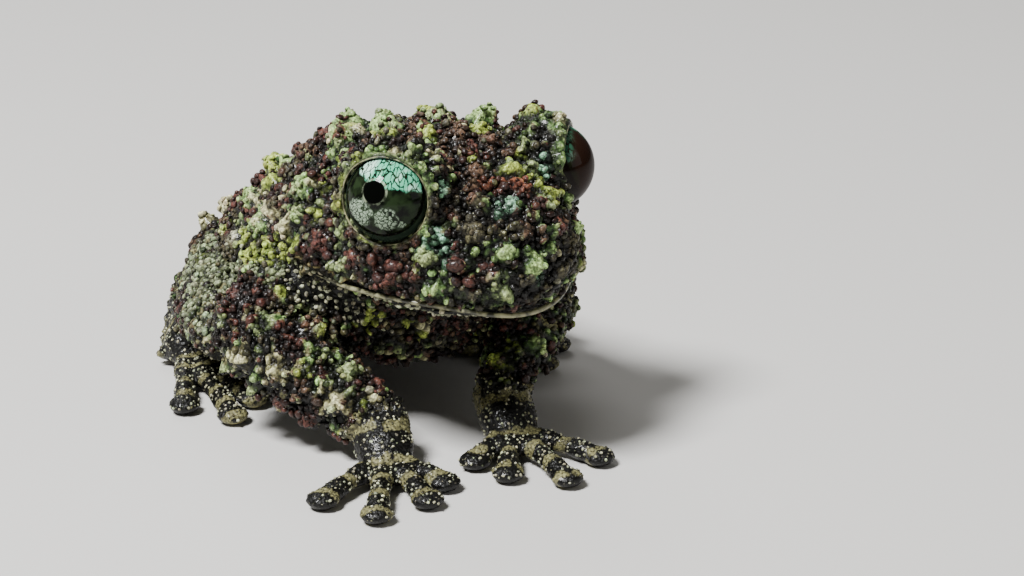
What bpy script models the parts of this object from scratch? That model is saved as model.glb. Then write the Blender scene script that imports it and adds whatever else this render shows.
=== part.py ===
"""A young Vietnamese mossy frog, sitting with its head raised, as a still, life-size model.

The body is divided into head, eyes, torso, arms and legs. Each part is a closed form
with its own warts joined to it, parted from its neighbours by a thin gap. The frog
faces -Y, its left side is +X, and its hands and feet stand on the plane Z = 0.
"""

import math

import bmesh
import bpy
import numpy as np
from mathutils import Matrix, Vector
from mathutils.bvhtree import BVHTree

# Driving dimensions. The proportions below are written for a frog 50 mm long from
# snout to vent, and UNIT scales each of them to this young one, in metres.
SNOUT_VENT_MM = 42.0
UNIT = SNOUT_VENT_MM / 50.0 * 0.001
GAP = 0.3 * 0.001 / UNIT
MERGE = 1e-7

# Head: placed by the point midway between the eyes, turned a little to the left, with
# its snout tipped a little down.
HEAD_AT = Vector((1.5, -9.0, 20.0))
HEAD_YAW = math.radians(10)
HEAD_PITCH = math.radians(4)
HEAD_TURN = Matrix.Rotation(HEAD_YAW, 3, "Z") @ Matrix.Rotation(HEAD_PITCH, 3, "X")
HEAD_HALF_WIDTH = 9.8
HEAD_REACH = 16.4
HEAD_REAR = 5.5
JAW_CORNER_Y = 7.5
HEAD_CENTRE_Y = 5.0
NECK_AT = Vector((0.6, -1.6, 15.8))
NECK_NORMAL = Vector((0.1, 1.0, -0.22)).normalized()

# One row for each level of the head, from the chin up: height, and the share of the
# head's outline that the level reaches to the sides, to the front and to the rear.
HEAD_LEVELS = (
    (-8.6, 0.40, 0.50, 0.6),
    (-8.3, 0.74, 0.80, 0.8),
    (-7.6, 0.92, 0.935, 0.95),
    (-7.05, 0.962, 0.965, 1.0),
    (-6.7, 0.925, 0.93, 1.0),
    (-6.35, 0.982, 0.98, 1.0),
    (-5.45, 1.0, 1.0, 1.0),
    (-4.25, 0.975, 0.99, 1.0),
    (-2.75, 0.905, 0.965, 1.0),
    (-1.3, 0.815, 0.935, 1.0),
    (0.0, 0.72, 0.885, 0.95),
    (1.1, 0.62, 0.79, 0.92),
    (1.8, 0.49, 0.64, 0.84),
    (2.25, 0.25, 0.38, 0.6),
)
CHIN_HEIGHT = -8.7
CROWN_HEIGHT = 2.4
SNOUT_SLOPE = 0.22
NAPE_SLOPE = 0.10
MUZZLE_BLUNTNESS = 2.05
JAW_BLUNTNESS = 2.2
HEAD_POINTS = 34
CHIN_Y = 2.0
CROWN_Y = 4.0
SLOPE_FROM = -2.5
SLOPE_OVER = 4.0
SNOUT_SLOPE_Y = -0.5
NAPE_SLOPE_Y = 1.0

# Eyes: bulging, set well to the sides, looking a little forward and up.
EYE_RADIUS = 3.15
EYE_AT = Vector((6.9, -0.9, 0.1))
EYE_FORWARD = math.radians(36)
EYE_UP = math.radians(10.4)
SOCKET_RADIUS = EYE_RADIUS + GAP
LID_RING_RADIUS = 3.6
LID_RING_THICKNESS = 0.36
LID_RING_OUT = 0.95
BROW_RADIUS = 3.95
BROW_IN = 1.05
EYE_SEGMENTS = 18
EYE_RINGS = 10

# Ear disc behind the eye, nostrils at the end of the snout.
EAR_AT = Vector((8.5, 5.0, -2.0))
EAR_AXIS = Vector((1.0, 0.0, 0.42)).normalized()
EAR_RADIUS = 1.35
EAR_RIM = 0.34
NOSTRIL_AT = Vector((2.0, -7.9, -0.75))
NOSTRIL_RADIUS = 0.42

# Torso: stations from the neck to the vent, each y, z, half width, rise and fall.
TORSO_STATIONS = (
    (-7.2, 13.6, 4.6, 4.6, 4.2),
    (-4.8, 13.8, 7.4, 6.4, 7.8),
    (-1.5, 13.6, 9.1, 7.6, 9.4),
    (4.0, 12.1, 9.7, 7.0, 8.8),
    (9.5, 10.4, 9.5, 6.1, 7.0),
    (15.0, 8.6, 8.5, 5.1, 5.3),
    (20.0, 6.9, 7.2, 4.3, 4.1),
    (24.5, 5.5, 5.7, 3.4, 3.2),
    (27.6, 4.6, 4.1, 2.5, 2.4),
    (29.2, 4.1, 2.4, 1.5, 1.4),
)
TORSO_POINTS = 26
TORSO_RINGS = 19
TORSO_ROUNDNESS = 0.92
TORSO_START = (-1.5, 0.0)
TORSO_END = (0.9, -0.3)

# Limbs: joint centres of the right side, with x measured outward from the middle.
ARM = {
    "right": ((6.0, 1.2, 12.0), (12.2, -0.8, 7.8), (5.9, -10.2, 2.9)),
    "left": ((6.0, 1.2, 12.0), (11.4, -0.8, 7.9), (4.3, -9.0, 3.0)),
}
LEG = {
    "right": ((5.6, 21.0, 6.0), (11.9, 5.2, 5.8), (8.4, 22.6, 3.3), (12.4, 14.2, 1.7)),
    "left": ((5.6, 21.0, 6.0), (12.1, 5.4, 5.8), (8.6, 22.8, 3.3), (12.6, 14.4, 1.7)),
}
SIDES = {"left": 1.0, "right": -1.0}

# Half widths read evenly along each length, from its first joint to its last.
LIMB_RADII = {
    "upper_arm": (3.2, 3.2, 3.0, 2.7),
    "forearm": (2.7, 3.0, 2.7, 2.2, 1.8),
    "palm": (1.85, 1.8, 1.8, 1.5),
    "thigh": (3.5, 3.8, 3.6, 3.1, 2.6),
    "shank": (2.6, 2.9, 2.8, 2.2, 1.8),
    "heel": (1.75, 1.65, 1.6, 1.6),
}

# Hand and foot: each digit's angle outward from straight ahead and its length.
HAND_TURN = {"right": 14.0, "left": -10.0}
FINGERS = ((-46.0, 5.0), (-17.0, 6.6), (13.0, 8.4), (46.0, 7.2))
FOOT_TURN = {"right": -11.0, "left": -13.0}
TOES = ((-30.0, 6.0), (-14.0, 8.2), (1.0, 10.6), (14.0, 13.0), (30.0, 10.0))
PALM_AHEAD = 2.2
PALM_HEIGHT = 1.0625
PALM_PAST = 1.2
PALM_FLAT = 1.2
FINGER_ROOT_AHEAD = 0.6
FINGER_ROOT_HEIGHT = 0.95
TOE_ROOT_HEIGHT = 1.0
DIGIT_RADIUS = 0.84
DIGIT_SWELLS = (1.15, 0.9, 1.05, 0.9)
DIGIT_BOW = (0, 0, 0.25)
DISC_RADIUS = 1.3
DISC_HEIGHT = 0.62
DISC_SQUASH = (1, 1, 0.56)
WEB_THICKNESS = 0.65
WEB_LIFT = 0.3
WEB_SHARE = 0.66
WEB_HOLLOW = 0.72

# Warts: low cones with round tips. The root ring is sunk below the skin, the shoulder
# ring is drawn in, and a wart keeps clear of the other parts, the floor and the face's
# mouth line, nostrils, ears and lids.
WART_SIDES = 5
WART_SINK = 0.28
WART_SHOULDER = 0.66
WART_CLEARANCE = GAP * 1.12
WART_CROWDING = 0.98
WART_LOWEST = 0.25
WART_SEED = 11
WART_THROWS = 60
SORT_STEP = 0.001
SORT_WEIGHTS = np.array((1e10, 1e5, 1.0))
MOUTH_HEIGHT = -6.7
MOUTH_MARGIN = 0.7

# How each part is set with warts: the most of them, least and greatest radius, and
# height as a share of the radius.
WART_PLAN = {
    "head": (76, 0.66, 1.12, 0.95),
    "torso": (74, 0.85, 1.35, 0.95),
    "upper_arm": (6, 0.7, 0.95, 0.9),
    "forearm": (7, 0.65, 0.9, 0.9),
    "thigh": (6, 0.75, 1.1, 0.9),
    "shank": (7, 0.7, 1.0, 0.9),
    "hand": (2, 0.5, 0.62, 0.8),
    "foot": (3, 0.5, 0.7, 0.8),
}

# The largest warts and a few that mark the face: part, a point near the root, radius and
# height.
PLACED_WARTS = (
    ("head", (-4.7, -1.9, 21.6), 1.3, 1.8),
    ("head", (-2.0, -2.4, 22.2), 1.2, 1.6),
    ("head", (2.3, -2.6, 22.4), 1.2, 1.5),
    ("head", (5.2, -2.6, 21.6), 0.95, 1.15),
    ("head", (8.3, -7.0, 23.6), 1.0, 1.1),
    ("head", (-6.2, -2.4, 20.2), 0.95, 1.0),
    ("head", (-6.8, -11.5, 15.8), 0.66, 0.6),
    ("head", (-4.9, -14.2, 15.4), 0.66, 0.6),
    ("head", (-2.6, -16.6, 16.5), 0.7, 0.6),
    ("head", (-0.3, -17.8, 15.6), 0.66, 0.6),
    ("head", (2.3, -15.3, 19.8), 0.6, 0.5),
    ("torso", (-4.4, 6.9, 17.7), 0.9, 1.2),
    ("torso", (-5.5, 9.3, 16.0), 1.05, 1.25),
    ("torso", (-6.2, 12.2, 14.3), 0.95, 1.1),
    ("torso", (-6.5, 16.1, 11.9), 0.95, 1.1),
    ("torso", (-6.6, 3.7, 17.9), 1.0, 1.1),
    ("torso", (-9.3, 4.0, 14.3), 1.0, 0.9),
    ("thigh_right", (-7.6, 20.4, 8.8), 1.05, 0.9),
    ("thigh_right", (-10.4, 14.4, 8.2), 0.9, 0.8),
)

# Fringes: rows of pointed warts along a limb's outer edge, from joint to joint.
FRINGE_COUNT = 5
FRINGE_RADIUS = 0.68
FRINGE_HEIGHT = 0.8
FRINGE_WAY = Vector((0.82, 0.3, -0.45)).normalized()
FRINGE_START = 0.7
FRINGE_OUT = {"forearm": 2.6, "foot": 1.6}

SKIN_COLOURS = {
    "moss": (0.16, 0.19, 0.08),
    "eye": (0.02, 0.05, 0.04),
}


def material(name, colour, roughness):
    """A plain material in one of the skin's colours."""
    made = bpy.data.materials.new(name)
    made.use_nodes = True
    shader = made.node_tree.nodes["Principled BSDF"]
    shader.inputs["Base Color"].default_value = (*colour, 1.0)
    shader.inputs["Roughness"].default_value = roughness
    shader.inputs["Metallic"].default_value = 0.0
    return made


def new_object(name, mesh):
    """Links a mesh into the frog's collection as an object at the origin."""
    made = bpy.data.objects.new(name, mesh)
    bpy.data.collections["mossy_frog"].objects.link(made)
    return made


def from_bmesh(name, form):
    """Turns a bmesh in proportion units into an object in metres, with faces out."""
    bmesh.ops.recalc_face_normals(form, faces=form.faces)
    bmesh.ops.scale(form, vec=(UNIT, UNIT, UNIT), verts=form.verts)
    mesh = bpy.data.meshes.new(name)
    form.to_mesh(mesh)
    form.free()
    mesh.shade_smooth()
    return new_object(name, mesh)


def loft(name, rings, first, last):
    """A closed skin over rings of points, drawn to one point at each end."""
    form = bmesh.new()
    rows = [[form.verts.new(p) for p in ring] for ring in rings]
    count = len(rows[0])
    for low, high in zip(rows, rows[1:]):
        for i in range(count):
            j = (i + 1) % count
            form.faces.new((low[i], low[j], high[j], high[i]))
    for row, tip in ((rows[0], first), (rows[-1], last)):
        end = form.verts.new(tip)
        for i in range(count):
            form.faces.new((row[i], row[(i + 1) % count], end))
    return from_bmesh(name, form)


def signed_power(value, power):
    """The value's size raised to a power, with its sign kept."""
    return np.sign(value) * np.abs(value) ** power


def head_to_world(points):
    """Turns head points, measured from between the eyes, to where the head is held."""
    return np.asarray(points) @ np.array(HEAD_TURN).T + np.array(HEAD_AT)


def head_outline(angle):
    """The lip's outline from above: a blunt half ellipse in front, a short one behind."""
    front = np.sin(angle) < 0
    bluntness = np.where(front, MUZZLE_BLUNTNESS, JAW_BLUNTNESS)
    reach = np.where(front, HEAD_REACH, HEAD_REAR)
    x = HEAD_HALF_WIDTH * signed_power(np.cos(angle), 2 / bluntness)
    y = JAW_CORNER_Y + reach * signed_power(np.sin(angle), 2 / bluntness)
    return x, y


def head_ring(level, grow):
    """One level of the head: the outline drawn in by its shares, the snout sloped down."""
    height, side, front, rear = level
    angle = np.linspace(0, 2 * math.pi, HEAD_POINTS, endpoint=False)
    x, y = head_outline(angle)
    ahead = y < HEAD_CENTRE_Y
    y = HEAD_CENTRE_Y + (y - HEAD_CENTRE_Y) * np.where(ahead, front, rear)
    x = x * side
    upper = np.clip((height - SLOPE_FROM) / SLOPE_OVER, 0, 1)
    drop = SNOUT_SLOPE * np.clip(SNOUT_SLOPE_Y - y, 0, None) + NAPE_SLOPE * np.clip(y - NAPE_SLOPE_Y, 0, None)
    out = np.hypot(x, y - HEAD_CENTRE_Y) + 1e-9
    x = x + grow * x / out
    y = y + grow * (y - HEAD_CENTRE_Y) / out
    return np.stack([x, y, np.full_like(x, height) - drop * upper], axis=1)


def make_head(name, grow=0.0):
    """The head's closed form, from chin to crown, grown outward by a margin."""
    rings = [head_to_world(head_ring(level, grow)) for level in HEAD_LEVELS]
    chin = head_to_world([(0, CHIN_Y, CHIN_HEIGHT - grow)])[0]
    crown = head_to_world([(0, CROWN_Y, CROWN_HEIGHT + grow)])[0]
    return loft(name, rings, chin, crown)


def eye_axis(side):
    """The way an eye looks, in world axes."""
    flat = math.cos(EYE_UP)
    axis = Vector((side * math.cos(EYE_FORWARD) * flat, -math.sin(EYE_FORWARD) * flat, math.sin(EYE_UP)))
    return HEAD_TURN @ axis


def eye_centre(side):
    """Where an eyeball's middle sits."""
    return Vector(head_to_world([(side * EYE_AT.x, EYE_AT.y, EYE_AT.z)])[0])


def ball(name, centre, radius, segments, rings, axis=Vector((0, 0, 1)), squash=(1, 1, 1)):
    """A sphere with its poles along an axis, squashed along its own directions."""
    form = bmesh.new()
    bmesh.ops.create_uvsphere(form, u_segments=segments, v_segments=rings, radius=radius)
    bmesh.ops.scale(form, vec=squash, verts=form.verts)
    turn = axis.to_track_quat("Z", "Y").to_matrix().to_4x4()
    bmesh.ops.transform(form, matrix=Matrix.Translation(centre) @ turn, verts=form.verts)
    return from_bmesh(name, form)


def ring(name, centre, axis, radius, thickness, around=20, across=5):
    """A torus about an axis, as for an eyelid's rim."""
    turn = axis.to_track_quat("Z", "Y").to_matrix()
    form = bmesh.new()
    rows = []
    for i in range(around):
        a = 2 * math.pi * i / around
        row = []
        for j in range(across):
            b = 2 * math.pi * j / across
            out = radius + thickness * math.cos(b)
            point = Vector((out * math.cos(a), out * math.sin(a), thickness * math.sin(b)))
            row.append(form.verts.new(centre + turn @ point))
        rows.append(row)
    for i in range(around):
        low, high = rows[i], rows[(i + 1) % around]
        for j in range(across):
            k = (j + 1) % across
            form.faces.new((low[j], low[k], high[k], high[j]))
    return from_bmesh(name, form)


def evaluated_mesh(obj):
    """The object's mesh with its modifiers applied."""
    graph = bpy.context.evaluated_depsgraph_get()
    return bpy.data.meshes.new_from_object(obj.evaluated_get(graph))


def remove(objects):
    """Deletes objects and the meshes that only they used."""
    for obj in list(objects):
        mesh = obj.data
        bpy.data.objects.remove(obj)
        if mesh and mesh.users == 0:
            bpy.data.meshes.remove(mesh)


def keep_largest(obj):
    """Keeps an object's largest closed surface and drops loose scraps."""
    form = bmesh.new()
    form.from_mesh(obj.data)
    bmesh.ops.remove_doubles(form, verts=form.verts, dist=MERGE)
    left, surfaces = set(form.verts), []
    while left:
        grown, edge = set(), [next(iter(left))]
        while edge:
            vert = edge.pop()
            if vert in grown:
                continue
            grown.add(vert)
            edge.extend(e.other_vert(vert) for e in vert.link_edges)
        left -= grown
        surfaces.append(grown)
    largest = max(surfaces, key=len)
    loose = [v for v in form.verts if v not in largest]
    bmesh.ops.delete(form, geom=loose, context="VERTS")
    form.to_mesh(obj.data)
    form.free()
    obj.data.shade_smooth()


def join(obj, others):
    """Joins closed pieces to an object with one Boolean union, then removes them."""
    if not others:
        return
    group = bpy.data.collections.new("pieces")
    bpy.context.scene.collection.children.link(group)
    for other in others:
        group.objects.link(other)
    cut = obj.modifiers.new("join", "BOOLEAN")
    cut.operation = "UNION"
    cut.operand_type = "COLLECTION"
    cut.collection = group
    cut.solver = "MANIFOLD"
    mesh = evaluated_mesh(obj)
    obj.modifiers.clear()
    obj.data = mesh
    remove(others)
    bpy.data.collections.remove(group)
    keep_largest(obj)


def cut_away(obj, cutters):
    """Cuts closed pieces out of an object, then removes them."""
    for cutter in cutters:
        cut = obj.modifiers.new("cut", "BOOLEAN")
        cut.operation = "DIFFERENCE"
        cut.object = cutter
        cut.solver = "MANIFOLD"
        mesh = evaluated_mesh(obj)
        obj.modifiers.clear()
        obj.data = mesh
    remove(cutters)
    keep_largest(obj)


def trim(obj, point, normal):
    """Cuts an object flat and closes it, taking off what lies along the normal."""
    form = bmesh.new()
    form.from_mesh(obj.data)
    cut = bmesh.ops.bisect_plane(
        form,
        geom=form.verts[:] + form.edges[:] + form.faces[:],
        dist=MERGE,
        plane_co=Vector(point) * UNIT,
        plane_no=normal,
        clear_outer=True,
    )
    edges = [e for e in cut["geom_cut"] if isinstance(e, bmesh.types.BMEdge)]
    bmesh.ops.holes_fill(form, edges=edges, sides=0)
    bmesh.ops.recalc_face_normals(form, faces=form.faces)
    form.to_mesh(obj.data)
    form.free()


def smooth_between(stations, count):
    """Reads rows of numbers as smooth curves, and returns evenly spaced rows of them."""
    rows = np.array(stations, float)
    slopes = np.gradient(rows, axis=0)
    at = np.linspace(0, len(rows) - 1, count)
    low = np.minimum(at.astype(int), len(rows) - 2)
    t = (at - low)[:, None]
    start, end = rows[low], rows[low + 1]
    return (
        (2 * t**3 - 3 * t**2 + 1) * start
        + (t**3 - 2 * t**2 + t) * slopes[low]
        + (3 * t**2 - 2 * t**3) * end
        + (t**3 - t**2) * slopes[low + 1]
    )


def make_torso(name, grow=0.0):
    """The torso's closed form, of upright ovals that lean with the back's slope."""
    rows = smooth_between(TORSO_STATIONS, TORSO_RINGS)
    middle = rows[:, :2]
    along = np.gradient(middle, axis=0)
    along /= np.linalg.norm(along, axis=1)[:, None]
    angle = np.linspace(0, 2 * math.pi, TORSO_POINTS, endpoint=False)
    side = signed_power(np.cos(angle), TORSO_ROUNDNESS)
    rise = signed_power(np.sin(angle), TORSO_ROUNDNESS)
    rings = []
    for (y, z, width, up, down), (dy, dz) in zip(rows, along):
        tall = np.where(rise > 0, up + grow, down + grow) * rise
        ring_points = np.stack([side * (width + grow), y - dz * tall, z + dy * tall], axis=1)
        rings.append(ring_points)
    start = (0, rows[0][0] + TORSO_START[0], rows[0][1] + TORSO_START[1])
    end = (0, rows[-1][0] + TORSO_END[0] + grow, rows[-1][1] + TORSO_END[1])
    return loft(name, rings, start, end)


def limb_form(name, start, end, radii, flat=1.0, points=12, steps=6, bow=(0, 0, 0), ends=(25, 55)):
    """A limb's length: round sections from joint to joint, with a round end at each.

    radii are the half widths read evenly along the length, flat is the share of it
    that the section has across the limb, bow moves the middle sideways, and ends are
    the angles of the sections on the round ends.
    """
    start, end, bow = np.array(start, float), np.array(end, float), np.array(bow, float)
    axis = end - start
    length = np.linalg.norm(axis)
    axis /= length
    across = np.cross(axis, (0, 0, 1.0))
    across /= np.linalg.norm(across)
    upward = np.cross(across, axis)
    angle = np.linspace(0, 2 * math.pi, points, endpoint=False)
    knots = np.linspace(0, 1, len(radii))
    stops = [(0.0, -math.cos(a) * radii[0], math.sin(a)) for a in np.radians(ends)]
    stops += [(t, 0.0, 1.0) for t in np.linspace(0, 1, steps)]
    stops += [(1.0, math.cos(a) * radii[-1], math.sin(a)) for a in np.radians(ends[::-1])]
    rings = []
    for t, past, share in stops:
        radius = np.interp(t, knots, radii) * share
        centre = start + axis * (length * t + past) + bow * math.sin(math.pi * t)
        round_ = np.outer(np.cos(angle) * flat, across) + np.outer(np.sin(angle), upward)
        rings.append(centre + radius * round_)
    return loft(name, rings, start - axis * radii[0], end + axis * radii[-1])


def mitre(first, joint, last):
    """The normal of the plane that parts two limb lengths where they meet."""
    into = (Vector(joint) - Vector(first)).normalized()
    away = (Vector(last) - Vector(joint)).normalized()
    return (into + away).normalized()


def part_at(before, after, first, joint, last):
    """Trims two limb lengths at their joint so that a gap is left between them."""
    normal = mitre(first, joint, last)
    if before is not None:
        trim(before, Vector(joint) - normal * GAP / 2, normal)
    if after is not None:
        trim(after, Vector(joint) + normal * GAP / 2, -normal)


def flip(point, side):
    """A point measured outward from the middle, on the named side."""
    return Vector((point[0] * side, point[1], point[2]))


def stand(obj):
    """Cuts an object flat at the floor, so that it rests on small flats."""
    trim(obj, Vector((0, 0, 0)), Vector((0, 0, -1)))


def digit(name, base, heading, length, side):
    """One finger or toe, with joints that swell a little and a round flat disc."""
    way = Vector((side * math.sin(heading), -math.cos(heading), 0))
    tip = base + way * length
    tip.z = DISC_HEIGHT
    radii = [DIGIT_RADIUS * swell for swell in DIGIT_SWELLS]
    bone = limb_form(name, base, tip, radii, points=6, steps=4, bow=DIGIT_BOW, ends=(45,))
    disc = ball(name + "_disc", tip, DISC_RADIUS, 8, 4, squash=DISC_SQUASH)
    return [bone, disc]


def make_hand(side_name):
    """A hand: a low palm, four spread fingers, each with a wide disc."""
    side = SIDES[side_name]
    wrist = flip(ARM[side_name][2], side)
    turn = math.radians(HAND_TURN[side_name])
    ahead = Vector((side * math.sin(turn), -math.cos(turn), 0))
    palm_at = wrist + ahead * PALM_AHEAD
    palm_at.z = PALM_HEIGHT
    palm_end = palm_at + ahead * PALM_PAST
    palm = limb_form("hand_" + side_name, wrist, palm_end, LIMB_RADII["palm"], flat=PALM_FLAT)
    pieces = []
    for i, (angle, length) in enumerate(FINGERS):
        heading = turn + math.radians(angle)
        base = palm_at + ahead * FINGER_ROOT_AHEAD
        base.z = FINGER_ROOT_HEIGHT
        pieces += digit(f"finger_{i}", base, heading, length, side)
    join(palm, pieces)
    return palm


def web(name, base, tips):
    """The thin skin between all toes, with a hollow front edge from toe to toe."""
    outline = [base.lerp(tips[0], WEB_SHARE)]
    for first, second in zip(tips, tips[1:]):
        outline.append(base.lerp(first.lerp(second, 0.5), WEB_SHARE * WEB_HOLLOW))
        outline.append(base.lerp(second, WEB_SHARE))
    outline.append(base)
    form = bmesh.new()
    low = [form.verts.new((c.x, c.y, WEB_LIFT)) for c in outline]
    high = [form.verts.new((c.x, c.y, WEB_LIFT + WEB_THICKNESS)) for c in outline]
    form.faces.new(low)
    form.faces.new(high)
    for i in range(len(outline)):
        j = (i + 1) % len(outline)
        form.faces.new((low[i], low[j], high[j], high[i]))
    bmesh.ops.triangulate(form, faces=form.faces)
    return from_bmesh(name, form)


def make_foot(side_name):
    """A foot: the heel's length, five toes with discs, and the webs between them."""
    side = SIDES[side_name]
    _, knee, ankle, ball_at = (flip(p, side) for p in LEG[side_name])
    heel = limb_form("foot_" + side_name, ankle, ball_at, LIMB_RADII["heel"], points=9, steps=4)
    part_at(None, heel, knee, ankle, ball_at)
    turn = math.radians(FOOT_TURN[side_name])
    base = Vector((ball_at.x, ball_at.y, TOE_ROOT_HEIGHT))
    pieces, tips = [], []
    for i, (angle, length) in enumerate(TOES):
        heading = turn + math.radians(angle)
        pieces += digit(f"toe_{i}", base, heading, length, side)
        tips.append(base + Vector((side * math.sin(heading), -math.cos(heading), 0)) * length)
    pieces.append(web("web", base, tips))
    join(heel, pieces)
    return heel


def build_limbs(side_name):
    """Both limbs of one side, as a dictionary of named lengths."""
    side = SIDES[side_name]
    shoulder, elbow, wrist = (flip(p, side) for p in ARM[side_name])
    hip, knee, ankle, ball_at = (flip(p, side) for p in LEG[side_name])
    upper_arm = limb_form("upper_arm_" + side_name, shoulder, elbow, LIMB_RADII["upper_arm"])
    forearm = limb_form("forearm_" + side_name, elbow, wrist, LIMB_RADII["forearm"])
    hand = make_hand(side_name)
    thigh = limb_form("thigh_" + side_name, hip, knee, LIMB_RADII["thigh"])
    shank = limb_form("shank_" + side_name, knee, ankle, LIMB_RADII["shank"])
    foot = make_foot(side_name)
    palm_front = wrist + Vector((0, -1, -0.1))
    part_at(upper_arm, forearm, shoulder, elbow, wrist)
    part_at(forearm, hand, elbow, wrist, palm_front)
    part_at(thigh, shank, hip, knee, ankle)
    part_at(shank, None, knee, ankle, ball_at)
    for rests in (hand, foot):
        stand(rests)
    return [upper_arm, forearm, hand, thigh, shank, foot]


def build_head():
    """The head with its brows and lid rims, sockets cut for the eyes, ears and nostrils."""
    head = make_head("head")
    extras, cutters = [], []
    for side_name, side in SIDES.items():
        axis, centre = eye_axis(side), eye_centre(side)
        extras.append(ball("brow_" + side_name, centre - axis * BROW_IN, BROW_RADIUS, 16, 9, axis))
        lid_at = centre + axis * LID_RING_OUT
        extras.append(ring("lid_" + side_name, lid_at, axis, LID_RING_RADIUS, LID_RING_THICKNESS))
        cutters.append(ball("socket_" + side_name, centre, SOCKET_RADIUS, EYE_SEGMENTS, EYE_RINGS, axis))
        ear_at = Vector(head_to_world([(side * EAR_AT.x, EAR_AT.y, EAR_AT.z)])[0])
        ear_axis = HEAD_TURN @ Vector((side * EAR_AXIS.x, EAR_AXIS.y, EAR_AXIS.z))
        extras.append(ring("ear_rim_" + side_name, ear_at, ear_axis, EAR_RADIUS, EAR_RIM, 11, 5))
        nostril_at = Vector(head_to_world([(side * NOSTRIL_AT.x, NOSTRIL_AT.y, NOSTRIL_AT.z)])[0])
        cutters.append(ball("nostril_" + side_name, nostril_at, NOSTRIL_RADIUS, 8, 6))
    join(head, extras)
    cut_away(head, cutters)
    trim(head, NECK_AT - NECK_NORMAL * GAP / 2, NECK_NORMAL)
    return head


def build_torso():
    """The torso, hollowed in front where the head sits against it."""
    torso = make_torso("torso")
    room = make_head("head_room", GAP)
    trim(room, NECK_AT + NECK_NORMAL * GAP / 2, NECK_NORMAL)
    cut_away(torso, [room])
    return torso


def build_eye(side_name):
    """One eyeball."""
    side = SIDES[side_name]
    return ball("eye_" + side_name, eye_centre(side), EYE_RADIUS, EYE_SEGMENTS, EYE_RINGS, eye_axis(side))


def wart_form(root, normal, radius, height, turn):
    """One wart's rings and tip in metres: sunk root, drawn-in shoulder and tip."""
    frame = normal.to_track_quat("Z", "Y").to_matrix()
    rings = []
    for share, lift in ((1.0, -WART_SINK), (WART_SHOULDER, 0.66 * height)):
        row = []
        for i in range(WART_SIDES):
            angle = turn + 2 * math.pi * i / WART_SIDES
            spot = Vector((math.cos(angle), math.sin(angle), 0)) * radius * share
            spot.z = lift
            row.append(root + frame @ spot * UNIT)
        rings.append(row)
    return rings[0], rings[1], root + normal * height * UNIT


def wart_object(name, form_points):
    """A closed mesh over one wart's rings and tip."""
    low, high, tip = form_points
    form = bmesh.new()
    roots = [form.verts.new(p) for p in low]
    shoulders = [form.verts.new(p) for p in high]
    top = form.verts.new(tip)
    form.faces.new(roots)
    for i in range(WART_SIDES):
        j = (i + 1) % WART_SIDES
        form.faces.new((roots[i], roots[j], shoulders[j], shoulders[i]))
        form.faces.new((shoulders[i], shoulders[j], top))
    bmesh.ops.recalc_face_normals(form, faces=form.faces)
    mesh = bpy.data.meshes.new(name)
    form.to_mesh(mesh)
    form.free()
    return new_object(name, mesh)


def surface_tree(obj):
    """A search tree over an object's faces."""
    form = bmesh.new()
    form.from_mesh(obj.data)
    tree = BVHTree.FromBMesh(form)
    form.free()
    return tree


def inside(tree, point, reach):
    """Whether a point lies inside the closed surface that a tree holds."""
    spot, normal, _, _ = tree.find_nearest(point, reach)
    return spot is not None and (point - spot).dot(normal) < 0


def clear_of_others(points, own, trees):
    """Whether all the points keep the clearance from every part but their own."""
    reach = WART_CLEARANCE * UNIT
    for name, tree in trees.items():
        if name == own:
            continue
        for point in points:
            if tree.find_nearest(point, reach)[0] is not None or inside(tree, point, 3 * reach):
                return False
    return True


def clear_of_face(root, radius):
    """Whether a wart on the head leaves the mouth line, nostrils, ears and lids bare."""
    local = HEAD_TURN.transposed() @ (root / UNIT - HEAD_AT)
    outward = Vector((abs(local.x), local.y, local.z))
    if abs(local.z - MOUTH_HEIGHT) < MOUTH_MARGIN + radius * 0.8 or local.z < MOUTH_HEIGHT:
        return False
    if (outward - NOSTRIL_AT).length < NOSTRIL_RADIUS + 0.4 + radius:
        return False
    if (outward - EAR_AT).length < EAR_RADIUS + EAR_RIM + radius:
        return False
    flat = math.cos(EYE_UP)
    axis = Vector((math.cos(EYE_FORWARD) * flat, -math.sin(EYE_FORWARD) * flat, math.sin(EYE_UP)))
    from_eye = outward - EYE_AT
    along = from_eye.dot(axis)
    near_rim = (from_eye - axis * along).length < LID_RING_RADIUS + LID_RING_THICKNESS + radius * 0.7
    return not (near_rim and along > 0.4 - radius * 0.6)


def try_wart(part, trees, taken, root, normal, radius, height, turn):
    """The form of one wart where it fits, or None where it would touch something."""
    for other, other_radius, other_part in taken:
        room = (radius + other_radius) * (WART_CROWDING if other_part == part.name else 1.0)
        if (root - other).length < room * UNIT:
            return None
    if part.name == "head" and not clear_of_face(root, radius):
        return None
    low, high, tip = wart_form(root, normal, radius, height, turn)
    points = [*low, *high, tip]
    if min(point.z for point in points) < WART_LOWEST * UNIT:
        return None
    if not all(inside(trees[part.name], point, 2 * UNIT) for point in low):
        return None
    if not clear_of_others(points, part.name, trees):
        return None
    return low, high, tip


def in_order(corners):
    """Triangles sorted by place, each with its lowest corner first, so that the order of
    a mesh's faces makes no difference."""
    spots = np.round(corners / (SORT_STEP * UNIT))
    first = (spots @ SORT_WEIGHTS).argmin(axis=1)
    turned = (first[:, None] + np.arange(3)) % 3
    rows = np.arange(len(corners))[:, None]
    corners, spots = corners[rows, turned], spots[rows, turned]
    return corners[np.lexsort(spots.reshape(-1, 9).T)]


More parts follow.
